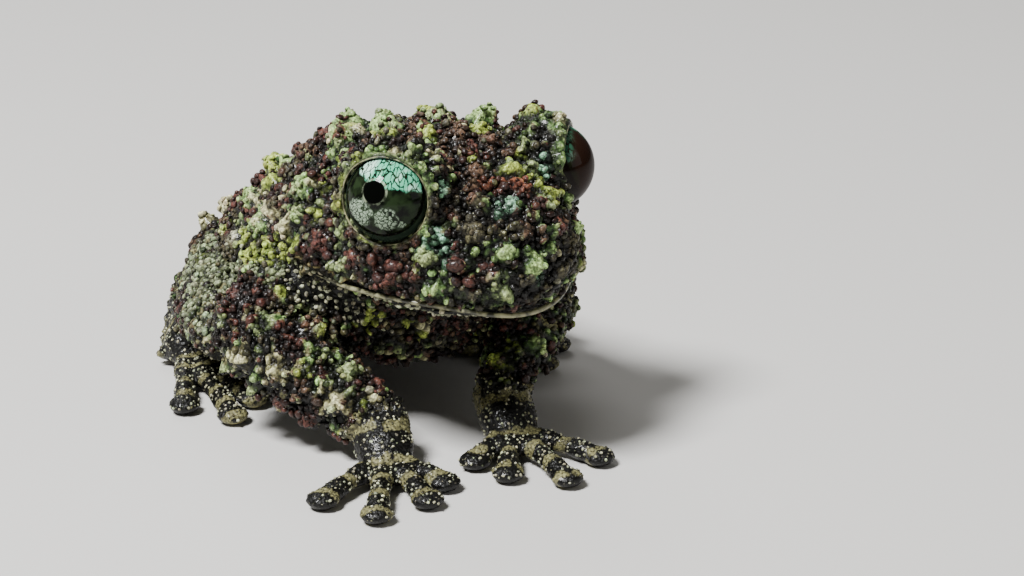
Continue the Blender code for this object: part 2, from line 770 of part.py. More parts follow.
def surface_throws(obj, count, draw):
    """Random points on an object, spread evenly by area, with each one's face normal."""
    mesh = obj.data
    mesh.calc_loop_triangles()
    corners = np.array([[mesh.vertices[i].co[:] for i in tri.vertices] for tri in mesh.loop_triangles])
    corners = in_order(corners)
    cross = np.cross(corners[:, 1] - corners[:, 0], corners[:, 2] - corners[:, 0])
    size = np.linalg.norm(cross, axis=1)
    picked = draw.choice(len(size), count, p=size / size.sum())
    a, b = draw.random(count), draw.random(count)
    over = a + b > 1
    a[over], b[over] = 1 - a[over], 1 - b[over]
    first, second, third = (corners[picked, i] for i in range(3))
    points = first + (second - first) * a[:, None] + (third - first) * b[:, None]
    return points, cross[picked] / size[picked][:, None]


def wart_wanted(part, normal, draw):
    """Whether a place that faces this way carries warts: none on the underside."""
    if normal[2] < -0.25:
        return False
    if part.name.startswith(("hand", "foot")) and normal[2] < 0.3:
        return False
    return normal[2] > 0.1 or draw.random() < 0.75


def wart_growth(part, point):
    """How large the warts grow here, from 0 on the snout and jaws to 1 on the back."""
    if part.name == "head":
        behind = np.clip((point[1] / UNIT + 16.0) / 13.0, 0, 1)
        above = np.clip((point[2] / UNIT - 14.5) / 7.0, 0, 1)
        return float(behind * above)
    if part.name == "torso":
        return float(np.clip((point[2] / UNIT - 6.0) / 9.0, 0.15, 1))
    return 0.5


def set_warts(parts):
    """Sets every part with its placed warts, its fringe and then its random ones."""
    trees = {part.name: surface_tree(part) for part in parts}
    draw = np.random.default_rng(WART_SEED)
    taken, forms = [], {part.name: [] for part in parts}

    def place(part, root, normal, radius, height):
        turn = draw.random() * 2 * math.pi
        points = try_wart(part, trees, taken, root, normal, radius, height, turn)
        if points:
            forms[part.name].append(points)
            taken.append((root, radius, part.name))
        return points is not None

    by_name = {part.name: part for part in parts}
    for name, hint, radius, height in PLACED_WARTS:
        spot, normal, _, _ = trees[name].find_nearest(Vector(hint) * UNIT)
        place(by_name[name], spot, normal, radius, height)
    for side_name, side in SIDES.items():
        _, elbow, wrist = (flip(p, side) for p in ARM[side_name])
        _, _, ankle, ball_at = (flip(p, side) for p in LEG[side_name])
        way = flip(FRINGE_WAY, side)
        for name, start, end in (("forearm", elbow, wrist), ("foot", ankle, ball_at)):
            part = by_name[f"{name}_{side_name}"]
            for i in range(FRINGE_COUNT):
                near = start.lerp(end, (i + FRINGE_START) / FRINGE_COUNT) + way * FRINGE_OUT[name]
                spot, normal, _, _ = trees[part.name].find_nearest(near * UNIT)
                place(part, spot, normal, FRINGE_RADIUS, FRINGE_HEIGHT)
    for part in parts:
        plan = [row for name, row in WART_PLAN.items() if part.name.startswith(name)]
        if not plan:
            continue
        most, least, greatest, tall = plan[0]
        count = len(forms[part.name]) + most
        points, normals = surface_throws(part, most * WART_THROWS, draw)
        for point, normal in zip(points, normals):
            if len(forms[part.name]) >= count:
                break
            if not wart_wanted(part, normal, draw):
                continue
            grown = wart_growth(part, point)
            radius = (least + (greatest - least) * grown) * draw.uniform(0.88, 1.12)
            height = radius * tall * draw.uniform(0.85, 1.25)
            place(part, Vector(point), Vector(normal), radius, height)
    for part in parts:
        pieces = [wart_object(f"wart_{part.name}_{i}", points) for i, points in enumerate(forms[part.name])]
        join(part, pieces)


def centre_over_origin(parts):
    """Moves all parts together, so that the origin lies under the middle of the model."""
    corners = np.array([vert.co[:] for part in parts for vert in part.data.vertices])
    middle = (corners.min(axis=0) + corners.max(axis=0)) / 2
    shift = Matrix.Translation((-middle[0], -middle[1], 0))
    for part in parts:
        part.data.transform(shift)


def main():
    """Builds every part, parts them from each other, and stands the frog on Z = 0."""
    for obj in list(bpy.data.objects):
        bpy.data.objects.remove(obj)
    frog = bpy.data.collections.new("mossy_frog")
    bpy.context.scene.collection.children.link(frog)

    head = build_head()
    torso = build_torso()
    eyes = [build_eye(side_name) for side_name in SIDES]
    limbs = [part for side_name in SIDES for part in build_limbs(side_name)]
    for part in limbs:
        if part.name.startswith(("upper_arm", "thigh", "shank", "forearm")):
            cut_away(part, [make_torso("torso_room", GAP)])

    set_warts([head, torso, *eyes, *limbs])

    skin = material("mossy_skin", SKIN_COLOURS["moss"], 0.5)
    wet = material("eye_gloss", SKIN_COLOURS["eye"], 0.1)
    for part in [head, torso, *limbs]:
        part.data.materials.clear()
        part.data.materials.append(skin)
    for part in eyes:
        part.data.materials.append(wet)
    centre_over_origin([head, torso, *eyes, *limbs])


main()
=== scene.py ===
"""A young Vietnamese mossy frog as a still, life-size model, on a plain pale floor.

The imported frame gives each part's place. One seamless skin covers the flesh, with lumpy
mounds drawn up from it and beads of four sizes set on it. The two eyes are glossy balls
with painted irises.
"""

import math

import bpy
import numpy as np
from mathutils import Matrix, Vector
from mathutils.bvhtree import BVHTree
from mathutils.kdtree import KDTree


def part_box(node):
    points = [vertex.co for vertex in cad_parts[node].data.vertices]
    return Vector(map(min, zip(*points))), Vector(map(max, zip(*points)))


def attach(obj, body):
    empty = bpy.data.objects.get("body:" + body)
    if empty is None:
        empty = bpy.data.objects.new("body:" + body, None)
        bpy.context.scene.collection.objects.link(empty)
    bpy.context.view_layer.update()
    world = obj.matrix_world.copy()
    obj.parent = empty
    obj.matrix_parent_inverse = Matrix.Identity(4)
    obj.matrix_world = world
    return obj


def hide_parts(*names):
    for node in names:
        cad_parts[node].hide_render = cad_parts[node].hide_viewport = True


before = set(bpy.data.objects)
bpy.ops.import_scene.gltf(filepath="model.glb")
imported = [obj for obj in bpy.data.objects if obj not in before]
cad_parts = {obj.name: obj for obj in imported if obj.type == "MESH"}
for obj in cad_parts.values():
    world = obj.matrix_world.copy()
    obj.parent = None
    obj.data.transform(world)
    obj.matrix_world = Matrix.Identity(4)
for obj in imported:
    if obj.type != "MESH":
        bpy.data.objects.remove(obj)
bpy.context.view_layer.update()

# Camera: a long lens from the frog's front right, a little above it. Proportions are in
# units of the frog's scale, with the point midway between the eyes as the head's place,
# and the whole is moved as the frame's right eye says.
UNIT = 0.00084
HEAD_AT = np.array([1.5, -9.0, 20.0])
HEAD_TURN = np.array(
    Matrix.Rotation(math.radians(10), 3, "Z") @ Matrix.Rotation(math.radians(4), 3, "X")
)
EYE_AT = np.array([6.9, -0.9, 0.1])
EYE_RADIUS = 3.15
VIEW_AZIMUTH = math.radians(-25)
VIEW_ELEVATION = math.radians(19)
VIEW_DISTANCE = 0.170
PIXELS_PER_METRE = 16670
PICTURE_WIDTH, PICTURE_HEIGHT, SENSOR_WIDTH = 1024, 576, 36.0
HEAD_PIXEL = (465.5, 178.5)


def from_head(points):
    """Head points, measured from between the eyes, turned and moved to the held head."""
    return np.asarray(points, float) @ HEAD_TURN.T + HEAD_AT


def to_head(points):
    """Points in proportion units, taken back to the head's own axes."""
    return (points - HEAD_AT) @ HEAD_TURN


eye_low, eye_high = (np.array(corner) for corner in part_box("eye_right"))
SHIFT = (eye_low + eye_high) / 2 - from_head(EYE_AT * (-1, 1, 1)) * UNIT
SHIFT[2] = 0.0


def placed(points):
    """Points in proportion units, taken to metres in the frame."""
    return np.asarray(points, float) * UNIT + SHIFT


back = np.array([
    math.sin(VIEW_AZIMUTH) * math.cos(VIEW_ELEVATION),
    -math.cos(VIEW_AZIMUTH) * math.cos(VIEW_ELEVATION),
    math.sin(VIEW_ELEVATION),
])
rightward = np.cross(-back, (0, 0, 1.0))
rightward /= np.linalg.norm(rightward)
upward = np.cross(rightward, -back)
lens_data = bpy.data.cameras.new("camera")
lens_data.sensor_width = SENSOR_WIDTH
lens_data.lens = PIXELS_PER_METRE * VIEW_DISTANCE * SENSOR_WIDTH / PICTURE_WIDTH
lens_data.clip_start, lens_data.clip_end = 0.005, 10.0
camera = bpy.data.objects.new("camera", lens_data)
bpy.context.scene.collection.objects.link(camera)
aim = placed(HEAD_AT) + back * VIEW_DISTANCE
aim -= (HEAD_PIXEL[0] - PICTURE_WIDTH / 2) / PIXELS_PER_METRE * rightward
aim -= (PICTURE_HEIGHT / 2 - HEAD_PIXEL[1]) / PIXELS_PER_METRE * upward
camera.location = aim
camera.rotation_euler = Vector(-back).to_track_quat("-Z", "Y").to_euler()
bpy.context.scene.camera = camera

# Head: a broad, blunt head with the line of the mouth near its foot. It is made of rings
# from the chin up, each a share of one outline, with a ball for each brow and a rim for
# each pair of lids. All flesh is collected here, and made one skin further down.
flesh = []


def smooth_rows(table, count):
    """Rows of numbers read as smooth curves through them, at count even steps."""
    rows = np.array(table, float)
    slopes = np.gradient(rows, axis=0)
    at = np.linspace(0, len(rows) - 1, count)
    low = np.minimum(at.astype(int), len(rows) - 2)
    t = (at - low)[:, None]
    ends = (2 * t**3 - 3 * t**2 + 1) * rows[low] + (3 * t**2 - 2 * t**3) * rows[low + 1]
    return ends + (t**3 - 2 * t**2 + t) * slopes[low] + (t**3 - t**2) * slopes[low + 1]


def signed_power(value, power):
    """The value's size raised to a power, with its sign kept."""
    return np.sign(value) * np.abs(value) ** power


def full_turn(count):
    """That many even angles round a circle."""
    return np.linspace(0, 2 * math.pi, count, endpoint=False)


def capped(rings, first, last):
    """Rings of points with one more at each end that is drawn to a single point."""
    points = rings.shape[1]
    return np.concatenate([np.tile(first, (1, points, 1)), rings, np.tile(last, (1, points, 1))])


HEAD_LEVELS = (
    (-8.6, 0.40, 0.50, 0.6),
    (-8.3, 0.74, 0.80, 0.8),
    (-7.6, 0.92, 0.935, 0.95),
    (-7.05, 0.962, 0.965, 1.0),
    (-6.7, 0.925, 0.93, 1.0),
    (-6.35, 0.982, 0.98, 1.0),
    (-5.45, 1.0, 1.0, 1.0),
    (-4.25, 0.975, 0.99, 1.0),
    (-2.75, 0.905, 0.965, 1.0),
    (-1.3, 0.815, 0.935, 1.0),
    (0.0, 0.72, 0.885, 0.95),
    (1.1, 0.62, 0.79, 0.92),
    (1.8, 0.49, 0.64, 0.84),
    (2.25, 0.25, 0.38, 0.6),
)
HEAD_HALF_WIDTH, HEAD_REACH, HEAD_REAR = 9.8, 16.4, 5.5
JAW_CORNER_Y, HEAD_CENTRE_Y = 7.5, 5.0
CHIN_HEIGHT, CROWN_HEIGHT = -8.7, 2.4
SNOUT_SLOPE, NAPE_SLOPE = 0.22, 0.10
MUZZLE_BLUNTNESS, JAW_BLUNTNESS = 2.05, 2.2
MOUTH_HEIGHT, LIP_HEIGHT, LIP_DROP, LIP_SPREAD = -6.7, -6.77, 0.58, 0.965
NOSTRIL_AT = np.array([2.0, -7.9, -0.75])
EAR_AT = np.array([8.5, 5.0, -2.0])
EAR_AXIS = np.array([0.922, 0.0, 0.387])
EAR_RADIUS, EAR_THICKNESS = 1.35, 0.3
EYE_FORWARD, EYE_UP = math.radians(36), math.radians(10.4)
SIDES = ((1, "left"), (-1, "right"))
BROW_RADIUS, BROW_LOWER = {1: 3.55, -1: 3.95}, {1: 0.2, -1: 0.0}
BROW_IN, BROW_FACE = {1: 0.70, -1: 1.05}, {1: 0.5, -1: 0.75}
LID_RADIUS, LID_THICKNESS, LID_OUT = 3.24, 0.3, 0.95
LID_FILL = {1: (0.25, 0.5, 0.75, 1.0), -1: (1.0,)}
LID_BEND = {1: (0.10, 0.55, 0.35), -1: (0.05, 0.35, 0.0)}


def head_surface(count_up, count_round):
    """Each level's outline is half a blunt ellipse in front and a short one behind,
    |x/a|^p + |y/b|^p = 1, drawn in by its shares, with the snout's upper part sloped."""
    levels = smooth_rows(HEAD_LEVELS, count_up)[:, None, :]
    height, side, front, rear = (levels[..., i] for i in range(4))
    angle = full_turn(count_round)[None, :]
    ahead = np.sin(angle) < 0
    power = 2 / np.where(ahead, MUZZLE_BLUNTNESS, JAW_BLUNTNESS)
    x = HEAD_HALF_WIDTH * signed_power(np.cos(angle), power) * side
    y = JAW_CORNER_Y + np.where(ahead, HEAD_REACH, HEAD_REAR) * signed_power(np.sin(angle), power)
    y = HEAD_CENTRE_Y + (y - HEAD_CENTRE_Y) * np.where(y < HEAD_CENTRE_Y, front, rear)
    upper = np.clip((height + 2.5) / 4.0, 0, 1)
    drop = (SNOUT_SLOPE * np.clip(-y - 0.5, 0, None) + NAPE_SLOPE * np.clip(y - 1.0, 0, None)) * upper
    rings = np.stack([x, y, height - drop], axis=-1)
    return from_head(capped(rings, (0, 2.0, CHIN_HEIGHT), (0, 4.0, CROWN_HEIGHT)))


def lip_level(across):
    """The lip's height by how far across the head it is: with q = (x / half width)^2, it
    drops by ((0.38 - q) / 0.38)^2 towards the middle and ((q - 0.38) / 0.62)^2 to the rear."""
    q = np.clip((across / (LIP_SPREAD * HEAD_HALF_WIDTH)) ** 2, 0, 1)
    return LIP_HEIGHT - LIP_DROP * np.where(q < 0.38, (0.38 - q) / 0.38, (q - 0.38) / 0.62) ** 2


def axes_across(look):
    """A direction and two more across it, the second one upward."""
    across = np.cross((0, 0, 1.0), look)
    across /= np.linalg.norm(across)
    return look, across, np.cross(look, across)


def eye_axes(side):
    """The way an eye looks and two directions across it."""
    flat = math.cos(EYE_UP)
    look = (side * math.cos(EYE_FORWARD) * flat, -math.sin(EYE_FORWARD) * flat, math.sin(EYE_UP))
    return axes_across(np.array(look) @ HEAD_TURN.T)


def eye_centre(side):
    """An eyeball's middle, in proportion units."""
    return from_head(EYE_AT * (side, 1, 1))


def beside_eye(points, side):
    """How far points lie along the way an eye looks, and how far off that line."""
    look = eye_axes(side)[0]
    apart = points - eye_centre(side)
    along = apart @ look
    return along, np.linalg.norm(apart - along[:, None] * look, axis=1)


def ball_angles(rows, columns):
    """The angles from a ball's pole as a column and those round it as a row."""
    polar = np.linspace(0, math.pi, rows)[:, None]
    return polar, full_turn(columns)[None, :]


def brow_surface(side, rows, columns):
    """A ball set back from the eyeball's middle, with its outer cap pressed flat."""
    look, across, up = eye_axes(side)
    polar, turn = ball_angles(rows, columns)
    along = np.minimum(BROW_RADIUS[side] * np.cos(polar) - BROW_IN[side], BROW_FACE[side]) + 0 * turn
    out = BROW_RADIUS[side] * np.sin(polar)
    ball = along[..., None] * look
    ball = ball + (out * np.cos(turn))[..., None] * across + (out * np.sin(turn))[..., None] * up
    return eye_centre(side) + ball - (0, 0, BROW_LOWER[side])


def rim_surface(centre, look, across, up, radius, thickness, rows, columns, bend=(0, 0, 0)):
    """A torus: a circle of the given thickness carried round the given radius. Its bend is
    the share that draws its upper half in, how far that half is lifted off the plane, and
    how far its two sides are tilted off it."""
    droop, lift, tilt = bend
    turn = np.linspace(0, 2 * math.pi, rows)[:, None]
    small = full_turn(columns)[None, :]
    out = radius + thickness * np.cos(small)
    upper = np.clip(np.sin(turn), 0, 1)
    high = out * np.sin(turn) * (1 - droop * upper)
    ring = (out * np.cos(turn))[..., None] * across + high[..., None] * up
    off_plane = thickness * np.sin(small) + lift * upper + tilt * np.cos(turn)
    return centre + ring + off_plane[..., None] * look


def lid_ring(side, radius, thickness, out, share=1.0, rows=72, columns=14):
    """A ring in front of an eyeball, at a share of its full way out and of its bend."""
    look, across, up = eye_axes(side)
    middle = eye_centre(side) + look * out * share
    bend = [part * share for part in LID_BEND[side]]
    return rim_surface(middle, look, across, up, radius, thickness, rows, columns, bend)


flesh.append(("head", head_surface(70, 150)))
for side, _ in SIDES:
    flesh.append(("head", brow_surface(side, 40, 60)))
    for share in LID_FILL[side]:
        flesh.append(("head", lid_ring(side, LID_RADIUS, LID_THICKNESS, LID_OUT, share)))
    ear_axes = axes_across(EAR_AXIS * (side, 1, 1) @ HEAD_TURN.T)
    ear_at = from_head(EAR_AT * (side, 1, 1))
    flesh.append(("head", rim_surface(ear_at, *ear_axes, EAR_RADIUS, EAR_THICKNESS, 48, 10)))

# Torso: upright ovals that lean with the slope of the back, from the throat to the vent.
TORSO_STATIONS = (
    (-7.2, 13.6, 4.6, 4.6, 4.2),
    (-4.8, 13.8, 7.4, 6.4, 7.8),
    (-1.5, 13.6, 9.1, 7.6, 9.4),
    (4.0, 12.1, 9.7, 7.0, 8.8),
    (9.5, 10.4, 9.5, 6.1, 7.0),
    (15.0, 8.6, 8.5, 5.1, 5.3),
    (20.0, 6.9, 7.2, 4.3, 4.1),
    (24.5, 5.5, 5.7, 3.4, 3.2),
    (27.6, 4.6, 4.1, 2.5, 2.4),
    (29.2, 4.1, 2.4, 1.5, 1.4),
)


def torso_surface(count_along, count_round):
    """Each station's oval: x = w cos^0.92, height = rise or fall times sin^0.92, set
    square to the line of the stations' middles."""
    rows = smooth_rows(TORSO_STATIONS, count_along)
    lean = np.gradient(rows[:, :2], axis=0)
    lean /= np.linalg.norm(lean, axis=1)[:, None]
    angle = full_turn(count_round)[None, :]
    side, rise = signed_power(np.cos(angle), 0.92), signed_power(np.sin(angle), 0.92)
    y, z, width, high, low = (rows[:, i, None] for i in range(5))
    tall = np.where(rise > 0, high, low) * rise
    rings = np.stack([side * width, y - lean[:, 1:] * tall, z + lean[:, :1] * tall], axis=-1)
    return capped(rings, (0, rows[0, 0] - 1.5, rows[0, 1]), (0, rows[-1, 0] + 0.9, rows[-1, 1] - 0.3))


flesh.append(("torso", torso_surface(90, 120)))

# Arms and legs: tapered lengths from joint to joint with round ends. The upper arm and
# the thigh start inside the torso. Hands have four fingers and feet five webbed toes,
# each with a wide flat disc that rests on the floor.
ARM = {
    -1: ((6.0, 1.2, 12.0), (12.2, -0.8, 7.8), (5.9, -10.2, 2.9)),
    1: ((6.0, 1.2, 12.0), (11.4, -0.8, 7.9), (4.3, -9.0, 3.0)),
}
LEG = {
    -1: ((5.6, 21.0, 6.0), (11.9, 5.2, 5.8), (8.4, 22.6, 3.3), (12.4, 14.2, 1.7)),
    1: ((5.6, 21.0, 6.0), (12.1, 5.4, 5.8), (8.6, 22.8, 3.3), (12.6, 14.4, 1.7)),
}
HAND_TURN = {-1: 14.0, 1: -10.0}
FINGERS = ((-46.0, 5.0), (-17.0, 6.6), (13.0, 8.4), (46.0, 7.2))
FOOT_TURN = {-1: -11.0, 1: -13.0}
TOES = ((-30.0, 6.0), (-14.0, 8.2), (1.0, 10.6), (14.0, 13.0), (30.0, 10.0))
LIMB_RADII = {
    "upper_arm": (3.2, 3.2, 3.0, 2.7), "forearm": (2.7, 3.0, 2.7, 2.2, 1.8),
    "thigh": (3.5, 3.8, 3.6, 3.1, 2.6), "shank": (2.6, 2.9, 2.8, 2.2, 1.8),
    "foot": (1.75, 1.65, 1.6, 1.6), "hand": (1.85, 1.8, 1.8, 1.5),
}
PALM_AHEAD, PALM_LENGTH, PALM_HEIGHT, PALM_WIDER = 2.2, 1.2, 1.06, 1.2
FINGERS_AHEAD, FINGERS_HEIGHT, TOES_HEIGHT = 0.6, 0.95, 1.0
DIGIT_RADII = np.array([1.15, 0.88, 1.08, 0.84, 1.04, 0.86])
DIGIT_RADIUS, DISC_RADIUS, DISC_HEIGHT, DISC_SQUASH = 0.84, 1.3, 0.62, 0.56
WEB_LIFT, WEB_THICKNESS, WEB_SHARE, WEB_SAG = 0.3, 0.65, 0.66, 0.28


def limb_surface(start, end, radii, flat=1.0, bow=0.0, rows=34, columns=32):
    """Circles along a line, their radius read smoothly from a few values, with half a
    ball at each end. bow lifts the middle by that much times the sine of the way along."""
    start, end = np.array(start, float), np.array(end, float)
    axis = end - start
    length = np.linalg.norm(axis)
    axis /= length
    across = np.cross(axis, (0, 0, 1.0))
    across /= np.linalg.norm(across)
    up = np.cross(across, axis)
    fine = smooth_rows(np.array(radii)[:, None], rows)[:, 0]
    t = np.linspace(0, 1, rows)
    cap = np.linspace(0.02, math.pi / 2, 9)[:-1]
    past = np.concatenate([-np.cos(cap) * radii[0], t * length, length + np.cos(cap[::-1]) * radii[-1]])
    width = np.concatenate([np.sin(cap) * radii[0], fine, np.sin(cap[::-1]) * radii[-1]])
    lift = np.concatenate([0 * cap, bow * np.sin(math.pi * t), 0 * cap])
    angle = full_turn(columns)
    circle = np.outer(np.cos(angle) * flat, across) + np.outer(np.sin(angle), up)
    middle = start + past[:, None] * axis + lift[:, None] * np.array((0, 0, 1.0))
    rings = middle[:, None, :] + width[:, None, None] * circle
    return capped(rings, middle[0], middle[-1])


def disc_surface(centre, radius, squash, rows=14, columns=26):
    """A ball pressed down to a flat cushion."""
    polar, turn = ball_angles(rows, columns)
    x, y = np.sin(polar) * np.cos(turn), np.sin(polar) * np.sin(turn)
    z = squash * np.cos(polar) + 0 * turn
    return np.array(centre) + radius * np.stack([x, y, z], -1)


def heading(side, degrees):
    """Straight ahead turned outward by an angle, on that side."""
    return np.array([side * math.sin(math.radians(degrees)), -math.cos(math.radians(degrees)), 0.0])


def digit_surfaces(base, way, length):
    """A finger or toe with two swollen joints, and its disc."""
    tip = base + way * length
    tip[2] = DISC_HEIGHT
    bone = limb_surface(base, tip, DIGIT_RADII * DIGIT_RADIUS, bow=0.25, rows=30, columns=20)
    return [bone, disc_surface(tip, DISC_RADIUS, DISC_SQUASH)]


def web_surface(base, tips, columns=40, rows=13):
    """A thin fan from the ball of the foot, whose front edge hangs back between toes:
    reach = s (1 - 0.28 |sin|) of the way to the line of the tips."""
    place = np.linspace(0, len(tips) - 1, columns)
    low = np.minimum(place.astype(int), len(tips) - 2)
    share = (place - low)[:, None]
    edge = (1 - share) * np.array(tips)[low] + share * np.array(tips)[low + 1]
    reach = WEB_SHARE * (1 - WEB_SAG * np.abs(np.sin(math.pi * share)))
    front = base + (edge - base) * reach
    fan = base + (front - base)[None] * np.linspace(0, 1, rows)[:, None, None]
    under, over = fan.copy(), fan[:, ::-1].copy()
    under[..., 2], over[..., 2] = WEB_LIFT, WEB_LIFT + WEB_THICKNESS
    sheet = np.concatenate([under, over], axis=1)
    return capped(sheet, sheet[0].mean(axis=0), sheet[-1].mean(axis=0))


for side, side_name in SIDES:
    out = np.array([side, 1, 1])
    shoulder, elbow, wrist = (np.array(p) * out for p in ARM[side])
    hip, knee, ankle, ball_at = (np.array(p) * out for p in LEG[side])
    for name, start, end in (
        ("upper_arm", shoulder, elbow), ("forearm", elbow, wrist),
        ("thigh", hip, knee), ("shank", knee, ankle), ("foot", ankle, ball_at),
    ):
        flesh.append((f"{name}_{side_name}", limb_surface(start, end, LIMB_RADII[name])))
    ahead = heading(side, HAND_TURN[side])
    palm = wrist + ahead * PALM_AHEAD
    palm[2] = PALM_HEIGHT
    palm_end = palm + ahead * PALM_LENGTH
    palm_surface = limb_surface(wrist, palm_end, LIMB_RADII["hand"], flat=PALM_WIDER)
    flesh.append((f"hand_{side_name}", palm_surface))
    for angle, length in FINGERS:
        base = palm + ahead * FINGERS_AHEAD
        base[2] = FINGERS_HEIGHT
        for piece in digit_surfaces(base, heading(side, HAND_TURN[side] + angle), length):
            flesh.append((f"hand_{side_name}", piece))
    base = np.array([ball_at[0], ball_at[1], TOES_HEIGHT])
    tips = []
    for angle, length in TOES:
        way = heading(side, FOOT_TURN[side] + angle)
        for piece in digit_surfaces(base, way, length):
            flesh.append((f"foot_{side_name}", piece))
        tips.append(base + way * length)
    flesh.append((f"foot_{side_name}", web_surface(base, tips)))

# Skin: moist, loose and black where it shows between the warts. It is one closed surface,
# made from all the flesh on a fine grid and smoothed so that no seam shows, and it takes
# the place of every part but the eyes.
SKIN_GRID = 0.00013
SKIN_SMOOTHING = 18
COAT_DEPTH, THIN_COAT_DEPTH = 0.00028, 0.00008
EYE_CLEAR, EYE_CLEAR_FADE = 3.9, 0.8


def new_object(name, mesh, *materials):
    """Links a mesh with its materials to the scene as an object at the origin."""
    for material in materials:
        mesh.materials.append(material)
    made = bpy.data.objects.new(name, mesh)
    bpy.context.scene.collection.objects.link(made)
    return made


def array_mesh(name, points, faces):
    """A mesh from an array of points and one of faces with equal numbers of corners."""
    mesh = bpy.data.meshes.new(name)
    mesh.vertices.add(len(points))
    mesh.vertices.foreach_set("co", np.ascontiguousarray(points, np.float32).ravel())
    mesh.loops.add(faces.size)
    mesh.loops.foreach_set("vertex_index", np.ascontiguousarray(faces, np.int32).ravel())
    mesh.polygons.add(len(faces))
    mesh.polygons.foreach_set("loop_start", np.arange(0, faces.size, faces.shape[1], dtype=np.int32))
    mesh.update(calc_edges=True)
    return mesh


def grid_faces(rows, columns, start=0, ring=False):
    """Quads of a grid whose columns close on themselves, and in a ring its rows too."""
    row, column = np.meshgrid(np.arange(rows if ring else rows - 1), np.arange(columns), indexing="ij")
    beside, after = (column + 1) % columns, (row + 1) % rows
    low, high = row * columns, after * columns
    quads = [low + column, low + beside, high + beside, high + column]
    return start + np.stack(quads, axis=-1).reshape(-1, 4)


def mesh_points(mesh, kind="co"):
    """A mesh's points, or their normals, as an array."""
    values = np.empty(len(mesh.vertices) * 3, np.float32)
    mesh.vertices.foreach_get(kind, values)
    return values.reshape(-1, 3).astype(float)


def round_shaded(mesh):
    """Shades every face of a mesh smoothly."""
    mesh.polygons.foreach_set("use_smooth", np.ones(len(mesh.polygons), bool))


def lay_map(mesh, name, flat):
    """Gives a mesh a map of that name from one flat place for each of its points."""
    corner = np.empty(len(mesh.loops), np.int32)
    mesh.loops.foreach_get("vertex_index", corner)
    layer = mesh.uv_layers.new(name=name)
    layer.data.foreach_set("uv", flat[corner].astype(np.float32).ravel())


def unit(vectors):
    """Vectors made one long."""
    return vectors / np.maximum(np.linalg.norm(vectors, axis=-1, keepdims=True), 1e-12)


cage_points, cage_faces, cage_parts, count = [], [], [], 0
part_names = [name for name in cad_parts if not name.startswith("eye")]
PART = {name: number for number, name in enumerate(part_names)}
for name, rings in flesh:
    rows, columns = rings.shape[:2]
    cage_points.append(rings.reshape(-1, 3))
    cage_faces.append(grid_faces(rows, columns, count))
    cage_parts.append(np.full(rows * columns, PART[name]))
    count += rows * columns
cage_points = np.concatenate(cage_points)
cage_parts = np.concatenate(cage_parts)
skin = new_object("skin", array_mesh("cage", placed(cage_points), np.concatenate(cage_faces)))
remesh = skin.modifiers.new("one_surface", "REMESH")
remesh.mode = "VOXEL"
remesh.voxel_size = SKIN_GRID
smooth = skin.modifiers.new("soften", "SMOOTH")
smooth.factor = 0.5
smooth.iterations = SKIN_SMOOTHING
skin_mesh = bpy.data.meshes.new_from_object(skin.evaluated_get(bpy.context.evaluated_depsgraph_get()))
skin.modifiers.clear()
skin.data = skin_mesh
base = mesh_points(skin_mesh)
base_normals = mesh_points(skin_mesh, "normal")


def tree_of(points):
    """Points in a tree that finds the nearest of them."""
    tree = KDTree(len(points))
    for index, point in enumerate(points):
        tree.insert(point, index)
    tree.balance()
    return tree


def designed(points):
    """Points in metres, taken back to proportion units."""
    return (np.asarray(points) - SHIFT) / UNIT


def parts_at(points):
    """Which body part each point belongs to, by the nearest point of the flesh."""
    return np.array([cage_parts[cage_tree.find(point)[1]] for point in points])


def from_eyes():
    """How far the skin's points lie from the middle of each eyeball."""
    return [np.linalg.norm(designed(base) - eye_centre(side), axis=1) for side, _ in SIDES]


cage_tree = tree_of(cage_points)
skin_parts = parts_at(designed(base))
thin_parts = [index for index, name in enumerate(part_names) if name.startswith(("hand", "foot"))]
thin_skin = np.isin(skin_parts, thin_parts)
head_skin = skin_parts == PART["head"]
torso_skin = skin_parts == PART["torso"]
depth = np.where(thin_skin, THIN_COAT_DEPTH, COAT_DEPTH)
for away in from_eyes():
    depth *= np.clip((away - EYE_CLEAR) / EYE_CLEAR_FADE, 0, 1)
base -= base_normals * depth[:, None]

